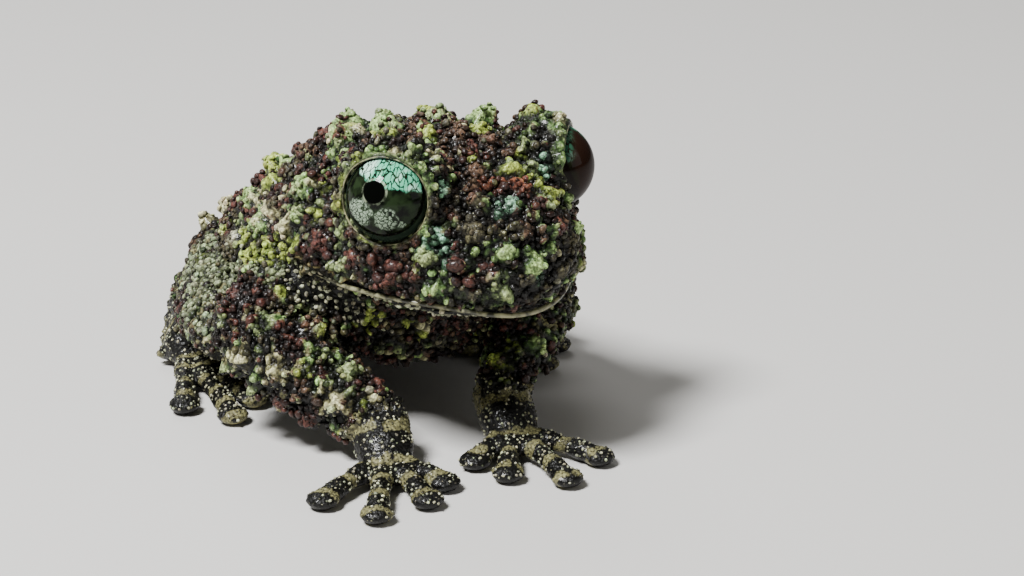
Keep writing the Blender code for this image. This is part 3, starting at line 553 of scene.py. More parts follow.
# Mounds: the warts that are seen from a step away, blunt lumpy knolls drawn up from the
# skin itself. The large ones stand where the parts have theirs, each with a few lesser
# ones against its side, and low ones are crowded between them.
MOUND_LEAST, MOUND_APART, MOUND_GAP = 0.0006, 0.0008, 1.3
MOUND_SIZE, MOUND_SPREAD = 0.00034, 0.70
TALL_LESS, SNOUT_LESS = 0.45, 0.35
PEAKS = (
    ((-3.3, 2.1, 22.4), 0.00120, "mint"), ((-0.3, 2.3, 22.2), 0.00095, "mint"),
    ((-2.5, -1.0, 22.2), 0.00070, "mint"), ((3.4, 1.7, 22.4), 0.00110, "lime"),
    ((6.4, -2.0, 22.9), 0.00125, "mint"), ((8.7, -7.7, 23.8), 0.00090, "mint"),
    ((-4.3, 1.6, 22.0), 0.00090, "maroon"), ((-5.6, 1.3, 21.6), 0.00095, "maroon"),
    ((-6.8, 1.2, 20.7), 0.00110, "brown"), ((-5.6, 5.0, 19.4), 0.00120, "maroon"),
    ((-5.9, 7.6, 18.2), 0.00120, "mint"), ((-6.3, 9.6, 17.3), 0.00120, "lime"),
    ((-6.6, 12.1, 15.5), 0.00100, "maroon"), ((-7.1, 15.7, 12.9), 0.00090, "maroon"),
    ((-7.0, 19.4, 11.2), 0.00100, "cream"), ((-7.7, 22.8, 9.4), 0.00080, "cream"),
    ((-9.9, 6.4, 12.8), 0.00080, "lime"), ((-10.1, 1.0, 13.6), 0.00085, "lime"),
    ((-9.6, -0.9, 13.8), 0.00065, "lime"), ((-9.7, -3.0, 15.0), 0.00055, "lime"),
    ((-8.4, 7.4, 15.7), 0.00055, "cream"), ((-9.5, 0.4, 15.4), 0.00050, "cream"),
    ((-4.0, -12.4, 24.0), 0.00070, "mint"), ((-3.8, -13.9, 22.9), 0.00055, "mint"),
    ((-5.8, -3.7, 21.5), 0.00075, "mint"),
)
PEAK_MORE = 1.05
CALMER_PARTS = {
    "upper_arm_left": 0.35, "forearm_left": 0.7, "thigh_left": 0.7, "thigh_right": 0.55,
    "shank_left": 0.7, "shank_right": 0.55,
}
CALM_PLACES = (
    ((5.9, -8.0, 23.1), 1.9, 0.2), ((6.7, -10.0, 23.2), 1.3, 0.4), ((-11.5, 13.5, 7.6), 4.0, 0.6),
    ((-8.8, -1.9, 11.9), 1.2, 0.15), ((-8.0, -3.0, 11.2), 1.4, 0.15), ((-6.9, -4.2, 10.7), 1.4, 0.15),
    ((-5.8, -5.0, 10.0), 1.3, 0.15), ((-1.8, 1.6, 21.7), 1.1, 0.4), ((1.8, 1.2, 22.0), 1.5, 0.4),
    ((5.0, -0.4, 22.2), 1.3, 0.4), ((7.6, -4.6, 22.6), 1.5, 0.4),
)
EYE_SIDE_HEIGHTS, EYE_SIDE_SIZES = (0.00030, 0.00055), (0.00034, 0.00050)
EYE_SIDE_OUT, EYE_SIDE_REACH = 0.95, (3.38, 3.60)
EYE_SIDE_KINDS = (
    "black", "mint", "mint", "sage", "mint", "cream", "mint", "mint", "lime", "sage", "lime",
    "cream", "lime", "sage", "maroon", "lime", "maroon", "maroon", "brown", "maroon", "mint", "black",
)
CLUSTERED_FROM, CLUSTER_SIZE = 0.00085, 3
LESSER_AWAY, LESSER_HEIGHTS, LESSER_SIZES = (0.55, 0.9), (0.5, 0.85), (0.45, 0.7)
LOBED_FROM, LOBES = 0.00065, 4
LOBE_AWAY, LOBE_HEIGHTS, LOBE_SIZES = (0.42, 0.66), (0.80, 0.97), (0.30, 0.42)
MOUND_BLUNTNESS, TALL_BLUNTER, MOUND_STEEPNESS = (2.0, 3.2), 0.9, 1.9
SNOUT_FROM, SNOUT_FADE = 8.0, 6.0
LOW_MOUNDS, LOW_MOUND_APART = 2600, (0.0008, 0.00052)
LOW_MOUND_SIZES, LOW_MOUND_HEIGHTS = (0.00028, 0.00056), (0.00026, 0.00072)
LOW_MOUND_FLOOR, LOW_MOUND_EYE = 0.0016, 3.95
FACE_ABOVE_MOUTH, CHEST_AHEAD, CHEST_FACING = 0.25, -2.5, -0.8
PEBBLE_SIZES, PEBBLE_HEIGHT, PEBBLE_APART = (0.00012, 0.00022), 0.5, 1.35
PEBBLE_BLUNTNESS, PEBBLE_STEEPNESS = 2.6, 1.8
PEBBLE_FLOOR, PEBBLE_EYE, PEBBLE_EYE_FADE, PEBBLE_TOP = 0.0005, 3.5, 0.3, 0.0007
SEED = 7


def mottle(points, size, seed):
    """An even random pattern of about unit spread: the sum of 24 cosine waves in random
    directions, each about as long as the size given."""
    draw = np.random.default_rng(seed)
    waves = unit(draw.normal(size=(24, 3))) * 2 * math.pi / size * draw.uniform(0.6, 1.5, (24, 1))
    return np.cos(points @ waves.T + draw.uniform(0, 2 * math.pi, 24)).sum(axis=1) / math.sqrt(12)


by_x = np.argsort(base[:, 0])
sorted_x = base[by_x, 0]


def near(place, reach):
    """The skin's points within a reach of a place, and how far away each one is."""
    low, high = np.searchsorted(sorted_x, (place[0] - reach, place[0] + reach))
    found_here = by_x[low:high]
    away = np.linalg.norm(base[found_here] - place, axis=1)
    return found_here[away < reach], away[away < reach]


def move_skin(points):
    """Moves the skin's points to new places."""
    skin_mesh.vertices.foreach_set("co", points.astype(np.float32).ravel())
    skin_mesh.update()


draw = np.random.default_rng(SEED)
skin_tree = BVHTree.FromPolygons(base.tolist(), [tuple(p.vertices) for p in skin_mesh.polygons])
found = []
for name in part_names:
    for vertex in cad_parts[name].data.vertices:
        place, normal, _, away = skin_tree.find_nearest(vertex.co)
        if away > MOUND_LEAST and (vertex.co - place).dot(normal) > 0:
            found.append((away, tuple(vertex.co), tuple(place)))
found.sort(reverse=True)
mounds, mound_names = [], []
for spot, size, kind in PEAKS:
    place, _, _, away = skin_tree.find_nearest(Vector(placed(spot)))
    mounds.append((away * PEAK_MORE, tuple(placed(spot)), tuple(place), size))
    mound_names.append(kind)
for away, tip, place in found:
    if all(math.dist(tip, other[1]) > max(MOUND_APART, MOUND_GAP * other[3]) for other in mounds):
        lower = away - TALL_LESS * max(away - CLUSTERED_FROM, 0)
        mounds.append((lower, tip, place, MOUND_SIZE + MOUND_SPREAD * lower))
for height, tip, foot, size in list(mounds[len(PEAKS):]):
    for _ in range(CLUSTER_SIZE if height > CLUSTERED_FROM else 0):
        aside = np.cross(np.array(tip) - foot, draw.normal(size=3))
        spot = Vector(np.array(foot) + unit(aside) * size * draw.uniform(*LESSER_AWAY))
        place, normal, _, _ = skin_tree.find_nearest(spot)
        lesser = height * draw.uniform(*LESSER_HEIGHTS)
        way = (normal * 0.5 + (Vector(tip) - Vector(foot)).normalized() * 0.5).normalized()
        lesser_tip = tuple(place + way * lesser)
        mounds.append((lesser, lesser_tip, tuple(place), size * draw.uniform(*LESSER_SIZES)))
mound_names += [None] * (len(mounds) - len(PEAKS))
for side, _ in SIDES:
    look, across, up = eye_axes(side)
    turns = full_turn(len(EYE_SIDE_KINDS))
    for turn, kind in zip(turns + draw.uniform(-0.09, 0.09, len(turns)), EYE_SIDE_KINDS):
        aside = -side * across * math.cos(turn) + up * math.sin(turn)
        spot = placed(eye_centre(side) + aside * draw.uniform(*EYE_SIDE_REACH) + look * EYE_SIDE_OUT)
        place, normal, _, _ = skin_tree.find_nearest(Vector(spot))
        height = draw.uniform(*EYE_SIDE_HEIGHTS)
        tip = np.array(place) + unit(np.array(normal) + aside * 0.2 + look * 0.3) * height
        mounds.append((height, tuple(tip), tuple(place), draw.uniform(*EYE_SIDE_SIZES)))
        mound_names.append(kind)
for index, (height, tip, foot, size) in enumerate(list(mounds)):
    way = Vector(tip) - Vector(foot)
    for _ in range(LOBES if height > LOBED_FROM else 0):
        aside = unit(np.cross(np.array(way), draw.normal(size=3))) * size * draw.uniform(*LOBE_AWAY)
        lower = draw.uniform(*LOBE_HEIGHTS)
        lobe_foot = np.array(foot) + aside
        lobe_tip = lobe_foot + np.array(way) * lower
        lobe_size = size * draw.uniform(*LOBE_SIZES)
        mounds.append((height * lower, tuple(lobe_tip), tuple(lobe_foot), lobe_size))
        mound_names.append(mound_names[index])
large_mounds = len(mounds)
upper_face = head_skin & (to_head(designed(base))[:, 2] > MOUTH_HEIGHT + FACE_ABOVE_MOUTH)
chest = torso_skin & (designed(base)[:, 1] < CHEST_AHEAD)
open_still = base_normals[:, 2] > np.where(upper_face | chest, CHEST_FACING, -0.3)
open_still &= (base[:, 2] > LOW_MOUND_FLOOR) & ~thin_skin
for side, _ in SIDES:
    along, aside = beside_eye(designed(base), side)
    open_still &= (aside > LOW_MOUND_EYE) | (along < 0.1)
for mound in mounds:
    if mound[0] > CLUSTERED_FROM:
        open_still[near(mound[2], LOW_MOUND_APART[0])[0]] = False
for index in draw.permutation(len(base)):
    if not open_still[index]:
        continue
    if len(mounds) == large_mounds + LOW_MOUNDS:
        break
    place, normal = base[index], base_normals[index]
    height = draw.uniform(*LOW_MOUND_HEIGHTS)
    mounds.append((height, tuple(place + normal * height), tuple(place), draw.uniform(*LOW_MOUND_SIZES)))
    open_still[near(place, LOW_MOUND_APART[1])[0]] = False
mound_heights = np.array([mound[0] for mound in mounds])
mound_feet = np.array([mound[2] for mound in mounds])
mound_ways = unit(np.array([mound[1] for mound in mounds]) - mound_feet)
mound_sizes = np.array([mound[3] for mound in mounds])
lumps = 1 + 0.12 * mottle(designed(base), 1.3, 41) + 0.07 * mottle(designed(base), 0.6, 42)
calm = np.ones(len(mounds))
for place, reach, less in CALM_PLACES:
    inside = np.linalg.norm(designed(mound_feet) - place, axis=1) < reach
    inside[:len(PEAKS)] = False
    calm[inside] = less
base_on_head = to_head(designed(base))
from_lip = np.abs(base_on_head[:, 2] - lip_level(base_on_head[:, 0]))
lip_calm = np.where(head_skin, np.clip((from_lip - 0.1) / 0.5, 0.1, 1), 1)
rise = np.zeros(len(base))
lift = np.zeros((len(base), 3))
for index, (height, foot, way, size) in enumerate(zip(mound_heights, mound_feet, mound_ways, mound_sizes)):
    here, _ = near(foot, 2.0 * size)
    if not len(here):
        continue
    apart = base[here] - foot
    apart -= (apart @ way)[:, None] * way
    share = np.linalg.norm(apart, axis=1) / size
    bluntness = draw.uniform(*MOUND_BLUNTNESS) + (TALL_BLUNTER if height > CLUSTERED_FROM else 0.0)
    if index >= len(PEAKS):
        height *= calm[index] * CALMER_PARTS.get(part_names[skin_parts[here[share.argmin()]]], 1.0)
        ahead = (-to_head(designed(foot))[1] - SNOUT_FROM) / SNOUT_FADE
        height *= 1 - SNOUT_LESS * float(np.clip(ahead, 0, 1))
    raised = height * np.exp(-MOUND_STEEPNESS * share**bluntness) * lumps[here] * lip_calm[here]
    higher = raised > rise[here]
    rise[here[higher]] = raised[higher]
    lift[here[higher]] = raised[higher, None] * way
skin_points = base + lift
move_skin(skin_points)
pebble = np.zeros(len(base))
open_still = base[:, 2] > PEBBLE_FLOOR
for index in draw.permutation(len(base)):
    if open_still[index]:
        size = draw.uniform(*PEBBLE_SIZES)
        here, away = near(base[index], 1.5 * size)
        swell = PEBBLE_HEIGHT * size * np.exp(-PEBBLE_STEEPNESS * (away / size) ** PEBBLE_BLUNTNESS)
        pebble[here] = np.maximum(pebble[here], swell)
        open_still[here[away < PEBBLE_APART * size]] = False
for away in from_eyes():
    pebble *= np.clip((away - PEBBLE_EYE) / PEBBLE_EYE_FADE, 0, 1)
pebble *= (1 - 0.8 * np.clip(rise / PEBBLE_TOP, 0, 1)) * np.where(thin_skin, 0.7, 1.0)
rise += pebble
skin_points += pebble[:, None] * mesh_points(skin_mesh, "normal")
skin_points[:, 2] = np.maximum(skin_points[:, 2], 0.0)
move_skin(skin_points)
round_shaded(skin_mesh)
skin_normals = mesh_points(skin_mesh, "normal")

# Markings: patches like lichen on wet bark, from near black through maroon to pale mint.
# Each kind has a colour for the hollows, one for the slopes and one for the tips, so that
# every wart is dark at its foot and pale at its top: the hollows' darkness is painted shade
# over the skin's own dark colour, and the tips' paleness is partly the warts' own and partly
# painted light. Fingers and limbs carry cross bars.
# Painted light and shade: each kind's first colour, for the hollows, is painted shade, and its last, for the
# tips, is partly painted light.
TONES = {
    "black": ((7, 6, 4), (23, 19, 12), (86, 82, 60)),
    "maroon": ((10, 6, 4), (44, 24, 19), (106, 64, 54)),
    "brown": ((10, 7, 4), (46, 32, 22), (116, 90, 70)),
    "rust": ((12, 6, 4), (70, 36, 24), (156, 94, 68)),
    "sage": ((9, 11, 6), (62, 76, 42), (172, 190, 128)),
    "mint": ((9, 14, 8), (70, 98, 48), (182, 214, 134)),
    "cream": ((16, 15, 10), (98, 95, 62), (228, 226, 174)),
    "lime": ((12, 14, 5), (88, 102, 36), (190, 208, 100)),
    "turquoise": ((8, 14, 10), (62, 96, 70), (164, 214, 180)),
    "khaki": ((26, 26, 17), (106, 104, 70), (170, 166, 120)),
    "pale": ((30, 30, 22), (92, 92, 72), (170, 170, 138)),
    "dotted": ((5, 5, 4), (11, 11, 8), (214, 216, 180)),
    "tan": ((24, 20, 11), (92, 82, 50), (172, 160, 110)),
    "lichen": ((12, 14, 9), (78, 84, 58), (182, 196, 152)),
}
KIND = {name: number for number, name in enumerate(TONES)}
FIELDS = {
    "black": (3.4, 1.05), "maroon": (3.8, 0.75), "brown": (4.2, 0.45), "sage": (3.2, 0.10),
    "mint": (3.0, -0.35), "lime": (3.6, -1.0), "cream": (2.2, -1.1), "turquoise": (4.2, -1.4),
}
MOUND_KINDS = {"mint": 0.20, "sage": 0.20, "lime": 0.09, "cream": 0.08, "maroon": 0.27, "brown": 0.16}
PALE_FROM, OWN_KIND_SHARE, PATCH_BESIDE, MOUND_PATCH = 0.0011, 0.35, 0.35, 1.15
KIND_BLEND, STANDING_FULL, LEVEL_TONE, LID_TONE, BAR_TONE = 0.35, 0.00030, 0.26, 0.70, 0.6
LID_SCORE, MOUND_SCORE, PATCH_SCORE, DOTTED_SCORE = 4.2, 4.0, 4.5, 8.0
THIN_SCORE, BAR_SCORE, BELLY_SCORE, THROAT_SCORE = 9.0, 10.0, 11.5, 12.0
PATCH_GROUPS = (
    ("mint", (
        (-5.2, -1.8, 23.1, 0.9), (-2.5, -2.4, 23.5, 1.0), (-2.9, -0.3, 21.8, 0.8),
        (3.5, 3.3, 21.3, 0.9), (5.5, -3.0, 22.5, 0.9), (7.7, -8.8, 23.7, 0.8), (4.5, -16.5, 16.8, 0.6),
        (-3.8, -15.5, 14.8, 0.6), (2.9, -17.8, 16.1, 0.5), (0.8, -17.3, 17.2, 0.9),
    )),
    ("lime", (
        (-4.9, -9.4, 24.3, 0.7), (-4.2, 6.9, 18.6, 0.6), (-6.5, -4.4, 21.4, 0.6),
        (-5.7, 10.0, 17.0, 0.9), (-7.1, 6.3, 16.6, 0.4), (-9.6, 6.5, 12.4, 0.8), (-9.9, 1.2, 13.0, 1.0),
        (-9.3, 0.0, 13.3, 0.6), (-10.0, -3.8, 15.2, 0.6), (4.9, -7.8, 22.7, 0.4),
        (2.9, -12.2, 21.0, 0.4), (3.8, -12.5, 20.7, 0.4), (-9.0, 0.7, 8.5, 0.6), (-5.1, -5.3, 9.2, 1.1),
        (4.2, -6.5, 22.5, 0.6),
    )),
    ("sage", (
        (-4.4, -12.7, 23.6, 0.6), (5.4, -9.2, 23.0, 0.6), (-9.1, -3.0, 17.5, 0.5),
        (-8.9, 16.7, 9.3, 0.9), (-9.8, 19.9, 5.6, 1.0), (-12.8, 7.7, 7.9, 1.0), (-7.6, -8.8, 15.8, 0.5),
        (-8.4, -6.9, 14.5, 0.6), (-8.9, -2.9, 9.7, 0.6), (-12.0, -4.0, 9.1, 0.5),
        (-8.6, -7.2, 7.3, 0.7), (-8.3, -8.9, 5.9, 0.6), (-0.2, -3.2, 4.4, 0.5), (-13.7, 6.8, 7.2, 1.0),
        (0.9, -17.3, 15.2, 0.4), (-0.0, -17.5, 14.3, 0.6), (-2.4, -16.0, 14.2, 0.4),
        (-3.6, -14.7, 16.3, 0.4),
    )),
    ("cream", (
        (-8.5, 6.4, 15.6, 0.4), (-10.0, -1.6, 15.7, 0.4), (-7.4, 23.5, 8.5, 0.6),
        (-14.1, -3.9, 7.2, 0.6), (-12.1, -6.1, 6.9, 0.6), (0.1, -16.8, 16.9, 0.4),
        (-14.1, 3.9, 6.1, 0.4), (-5.0, -13.0, 3.0, 0.5), (-6.4, -11.3, 4.3, 0.5),
        (-9.3, -8.8, 5.5, 0.5),
    )),
    ("maroon", (
        (-5.4, -2.3, 22.8, 0.6), (-4.3, 4.9, 19.9, 0.6), (-4.7, 7.4, 18.7, 0.6),
        (-7.1, -2.0, 19.8, 0.8), (-8.2, 2.2, 16.8, 0.6), (-6.7, 12.2, 15.1, 0.6),
        (-9.2, 9.4, 14.9, 0.6), (-8.9, 12.4, 13.2, 0.5), (-9.1, -4.7, 14.9, 0.6),
        (-8.8, -6.6, 16.3, 0.7), (-6.8, -11.6, 15.8, 0.6), (-5.6, -12.4, 15.6, 0.9),
        (-2.4, -16.2, 16.3, 0.6), (2.7, -7.3, 11.4, 0.5), (-0.5, -16.7, 16.1, 0.4),
        (5.9, -9.8, 22.0, 0.4), (-13.2, -0.4, 11.0, 1.0), (-12.2, -1.7, 10.8, 1.0),
        (-13.1, -2.0, 10.0, 0.9), (-13.0, 13.7, 5.8, 0.7), (-15.1, 8.9, 1.0, 0.6),
        (-10.8, -5.5, 8.5, 0.9), (-3.1, -3.4, 5.1, 0.8), (-5.8, -9.3, 5.7, 0.7), (0.7, -5.7, 22.6, 0.9),
        (2.3, -13.7, 20.3, 0.5),
    )),
    ("rust", ((-7.3, -0.5, 17.9, 0.6), (1.5, -13.3, 20.6, 0.6), (3.5, -14.0, 19.9, 0.6))),
    ("brown", (
        (-2.8, -9.8, 23.9, 1.1), (1.7, -6.9, 23.2, 0.9), (-0.8, -9.5, 22.6, 0.9),
        (2.2, -7.8, 22.6, 0.7), (3.2, -9.4, 21.9, 0.7), (-0.3, -13.3, 20.4, 0.9),
        (-2.6, -13.7, 19.7, 0.7), (3.1, -16.0, 18.5, 0.6), (0.3, -11.7, 21.3, 0.5),
    )),
    ("black", (
        (-4.4, -2.8, 22.0, 0.4), (-7.2, 3.1, 18.0, 0.6), (-9.7, 1.1, 16.9, 0.6),
        (-8.6, 11.5, 13.0, 0.7), (-7.4, -11.0, 16.7, 0.5), (2.9, -10.8, 21.5, 0.5),
        (-0.6, -14.5, 19.5, 0.7), (-1.2, -16.2, 18.6, 0.9), (6.9, -10.6, 22.9, 0.7),
        (1.8, -17.8, 14.9, 0.6), (5.0, -16.8, 14.8, 1.1), (6.7, -15.1, 15.7, 1.0),
        (7.0, -13.9, 17.1, 0.7), (-10.4, 8.0, 11.1, 0.7), (-7.8, -3.8, 11.2, 1.7),
        (-6.1, -3.4, 7.1, 1.1),
    )),
    ("turquoise", (
        (-3.1, -14.6, 17.6, 0.6), (-2.6, -15.1, 17.0, 0.6), (-3.5, -14.3, 17.0, 0.6),
        (6.4, -11.8, 20.9, 0.6), (-2.4, -13.4, 21.0, 0.6), (1.4, -15.2, 19.4, 0.6),
        (2.9, -17.4, 15.3, 0.4), (2.5, -8.4, 2.2, 0.9),
    )),
    ("pale", ((8.1, 6.8, 0.1, 0.7), (1.3, -4.3, 5.7, 0.5))),
    ("dotted", (
        (-8.8, -1.9, 11.9, 0.9), (-8.0, -3.0, 11.2, 1.2), (-6.9, -4.2, 10.7, 1.2),
        (-5.8, -5.0, 10.0, 1.1), (-9.4, 8.6, 11.6, 0.7),
    )),
    ("lime", (
        (-9.4, 5.3, 12.2, 1.4), (-9.3, 3.0, 12.6, 1.3), (-9.9, 0.3, 13.1, 1.2), (-9.5, -1.6, 13.9, 0.9),
    )),
    ("tan", (
        (-8.7, -2.7, 13.3, 0.8), (-8.3, -4.7, 13.2, 0.9), (-7.8, -6.4, 13.2, 0.8),
        (-7.2, -8.1, 13.1, 0.6), (-6.6, -9.5, 12.9, 0.5),
    )),
    ("black", ((-8.9, 11.5, 9.8, 1.1),)),
    ("lichen", (
        (-9.4, 17.0, 8.7, 1.6), (-10.3, 12.4, 8.6, 1.8), (-10.8, 8.7, 8.5, 1.6),
        (-11.9, 11.1, 7.8, 1.7), (-10.0, 7.7, 8.3, 1.4), (-9.2, 7.0, 9.9, 1.2), (-10.5, 16.9, 7.5, 1.5),
        (-12.8, 7.4, 7.6, 1.4), (-13.6, 8.5, 6.3, 1.4), (-8.1, 17.2, 9.6, 1.4), (-13.5, 4.1, 6.9, 1.2),
        (-10.6, -0.9, 11.8, 0.8),
    )),
)
PATCHES = [(kind, spot[:3], spot[3]) for kind, spots in PATCH_GROUPS for spot in spots]


def in_light(colours):
    """Screen colours, 0 to 255, as amounts of light: ((c + 0.055) / 1.055) ^ 2.4."""
    share = np.asarray(colours, float) / 255
    return np.where(share > 0.04045, ((share + 0.055) / 1.055) ** 2.4, share / 12.92)


def toned(kinds, share):
    """Each kind's colour from hollow (0) over slope (0.5) to tip (1)."""
    low, middle, high = (in_light([tones[i] for tones in TONES.values()])[kinds] for i in range(3))
    share = share[:, None]
    to_slope, to_tip = np.clip(share * 2, 0, 1) ** 1.4, np.clip(share * 2 - 1, 0, 1)
    return low + (middle - low) * to_slope + (high - middle) * to_tip


def bars(points, parts):
    """How strongly pale bars cross limbs, toes and fingers: a cosine of the way along."""
    strength = np.full(len(points), -1.0)
    for side, side_name in SIDES:
        out = np.array([side, 1, 1])
        for stem, start, end, length, less in (
            ("shank", LEG[side][1], LEG[side][2], 4.4, 0.35),
            ("thigh", LEG[side][0], LEG[side][1], 4.8, 0.75),
            ("forearm", ARM[side][1], ARM[side][2], 5.5, 0.85),
        ):
            here = parts == PART[f"{stem}_{side_name}"]
            way = unit((np.array(end) - np.array(start)) * out)
            along = (points[here] - np.array(start) * out) @ way
            strength[here] = np.cos(2 * math.pi * along / length) - less
        for stem, base_at in (("hand", ARM[side][2]), ("foot", LEG[side][3])):
            here = parts == PART[f"{stem}_{side_name}"]
            apart = np.linalg.norm((points[here] - np.array(base_at) * out)[:, :2], axis=1)
            strength[here] = np.cos(2 * math.pi * apart / 2.3) - 0.35
    return strength


def near_any(rows, place):
    """The first of the named patches that a place lies in or beside, if there is one."""
    for name, spot, size in rows:
        if math.dist(spot, place) < size + PATCH_BESIDE:
            return name
    return None


mound_draw = draw.choice(tuple(MOUND_KINDS), len(mounds), p=tuple(MOUND_KINDS.values()))
own_kind = draw.random(len(mounds)) < OWN_KIND_SHARE
mound_patches = []
mound_names += [None] * (len(mounds) - len(mound_names))
for index, (foot, way, size, height) in enumerate(zip(mound_feet, mound_ways, mound_sizes, mound_heights)):
    if mound_names[index]:
        mound_patches.append((mound_names[index], foot, size * MOUND_PATCH))
    elif height > CLUSTERED_FROM or own_kind[index]:
        middle = designed(foot + way * height * 0.5)
        kind = near_any(PATCHES, middle) or str(mound_draw[index])
        if height > PALE_FROM and kind not in ("mint", "sage", "cream", "lime"):
            kind = "mint" if index % 3 else "sage"
        mound_patches.append((kind, foot, size * MOUND_PATCH))
points = designed(skin_points)
head_points = to_head(points)
lid_share = np.zeros(len(points))
for side, _ in SIDES:
    along, aside = beside_eye(points, side)
    lid_share += np.where(along > 0.2, np.clip(1.2 - np.abs(aside - 3.35) / 0.3, 0, 1), 0)
fore = head_skin & (head_points[:, 1] < -7)
ragged = 0.22 * mottle(points, 1.3, 99)
score = np.full((len(points), len(KIND)), -3.0)
for name, (size, more) in FIELDS.items():
    kind = KIND[name]
    score[:, kind] = mottle(points, size, 60 + kind) + more + 0.5 * mottle(points, 1.2, 80 + kind)
for where, name, more in (
    (fore, "turquoise", 0.9), (fore, "lime", -1.0), (~head_skin, "mint", -0.1),
    (~head_skin, "sage", 0.2), (~head_skin, "cream", 0.6),
):
    score[where, KIND[name]] += more
score[lid_share > 0, KIND["sage"]] = LID_SCORE
for kind, foot, size in mound_patches:
    here, away = near(foot, size)
    score[here, KIND[kind]] = MOUND_SCORE + 2.0 * (1 - away / size)
for name, place, size in PATCHES:
    away = np.linalg.norm(points - place, axis=1) / size
    add = np.clip(1.15 - away + ragged, 0, 0.6)
    kind = KIND[name]
    strength = DOTTED_SCORE if name == "dotted" else PATCH_SCORE
    patch_score = np.maximum(score[:, kind], strength + 4.0 * add)
    score[:, kind] = np.where(add > 0, patch_score, score[:, kind])
under = (skin_normals[:, 2] < np.where(chest, CHEST_FACING, -0.35)) & ~head_skin
throat = head_skin & (head_points[:, 2] < lip_level(head_points[:, 0]))
score[throat | under, KIND["dotted"]] = THROAT_SCORE
belly = under & torso_skin & (points[:, 1] > -3)
score[belly, KIND["pale"]] = BELLY_SCORE + 1.6 * mottle(points[belly], 3.0, 77)
score[thin_skin, KIND["dotted"]] = THIN_SCORE
score[:, KIND["khaki"]] = np.where(bars(points, skin_parts) > 0.3 + ragged, BAR_SCORE, -3)
next_kinds, skin_kinds = np.argsort(score, axis=1)[:, -2:].T
rows = np.arange(len(points))
blend = 0.5 * np.exp(-(score[rows, skin_kinds] - score[rows, next_kinds]) / KIND_BLEND)

pairs = np.empty(len(skin_mesh.edges) * 2, np.int32)
skin_mesh.edges.foreach_get("vertices", pairs)
ends = np.concatenate([pairs.reshape(-1, 2), pairs.reshape(-1, 2)[:, ::-1]])
degree = np.bincount(ends[:, 0], minlength=len(base))


def evened(values, times):
    """Values at the skin's points, each drawn half way to its neighbours' mean, again
    and again."""
    for _ in range(times):
        values = 0.5 * values + 0.5 * np.bincount(ends[:, 0], values[ends[:, 1]], len(base)) / degree
    return values


# Painted light and shade: points standing above their neighbours take paler tones and hollows darker ones,
# besides the warts' own paler tips.
standing = (rise - evened(rise, 46)) / STANDING_FULL
tipness = np.clip(LEVEL_TONE + standing + 0.35 * (rise - 0.0003) / 0.0008, 0, 1)
tipness += 0.06 * mottle(points, 0.7, 5)
tipness = np.maximum(tipness, LID_TONE * np.clip(lid_share, 0, 1))
tipness = np.clip(tipness, 0, 1)
shown = np.where(thin_skin | throat | under, 0.35, 0.92 * tipness)
bare = toned(skin_kinds, shown) * (1 - blend[:, None]) + toned(next_kinds, shown) * blend[:, None]
banded = skin_kinds == KIND["khaki"]
bare[banded] = toned(skin_kinds[banded], np.full(banded.sum(), BAR_TONE))


def paint(mesh, colours):
    """Keeps one colour for each point of a mesh as its attribute named tint."""
    tint = mesh.color_attributes.new("tint", "FLOAT_COLOR", "POINT")
    rows = np.ones((len(colours), 4), np.float32)
    rows[:, :3] = colours
    tint.data.foreach_set("color", rows.ravel())


paint(skin_mesh, bare)


class Value:
    """One output of a shader node. Arithmetic on it adds Math nodes."""

    def __init__(self, tree, socket):
        self.tree = tree
        self.socket = socket

    def math(self, operation, first, second):
        return node(self.tree, "ShaderNodeMath", {"operation": operation}, {0: first, 1: second})

    def __add__(self, other):
        return self.math("ADD", self, other)

    __radd__ = __add__

    def __sub__(self, other):
        return self.math("SUBTRACT", self, other)

    def __rsub__(self, other):
        return self.math("SUBTRACT", other, self)

    def __mul__(self, other):
        return self.math("MULTIPLY", self, other)

    __rmul__ = __mul__

    def most(self, other):
        return self.math("MAXIMUM", self, other)

    def between(self, low, high):
        """Rises smoothly from 0 to 1 as the value goes from low to high."""
        return node(
            self.tree,
            "ShaderNodeMapRange",
            {"interpolation_type": "SMOOTHSTEP"},
            {"Value": self, "From Min": low, "From Max": high},
        )


def node(tree, kind, settings, inputs, output=0):
    """Adds a node: its settings first, then its sockets' values or links."""
    made = tree.nodes.new(kind)
    for name, value in settings.items():
        setattr(made, name, value)
    for name, value in inputs.items():
        if isinstance(value, Value):
            tree.links.new(value.socket, made.inputs[name])
        else:
            made.inputs[name].default_value = value
    return Value(tree, made.outputs[output])


def mix(tree, factor, first, second, blend="MIX"):
    """Two colours mixed by a factor. A plain colour is a triple of amounts of light."""
    first, second = (c if isinstance(c, Value) else (*c, 1.0) for c in (first, second))
    settings = {"data_type": "RGBA", "blend_type": blend}
    return node(tree, "ShaderNodeMix", settings, {0: factor, 6: first, 7: second}, 2)


def new_material(name):
    """A material with only its shader, and that shader's node."""
    made = bpy.data.materials.new(name)
    made.use_nodes = True
    return made, made.node_tree, made.node_tree.nodes["Principled BSDF"]


def feed(tree, shader, **values):
    """Links or sets the shader's sockets, an underscore in a name standing for a space."""
    for name, value in values.items():
        socket = shader.inputs[name.replace("_", " ")]
        if isinstance(value, Value):
            tree.links.new(value.socket, socket)
        else:
            socket.default_value = value


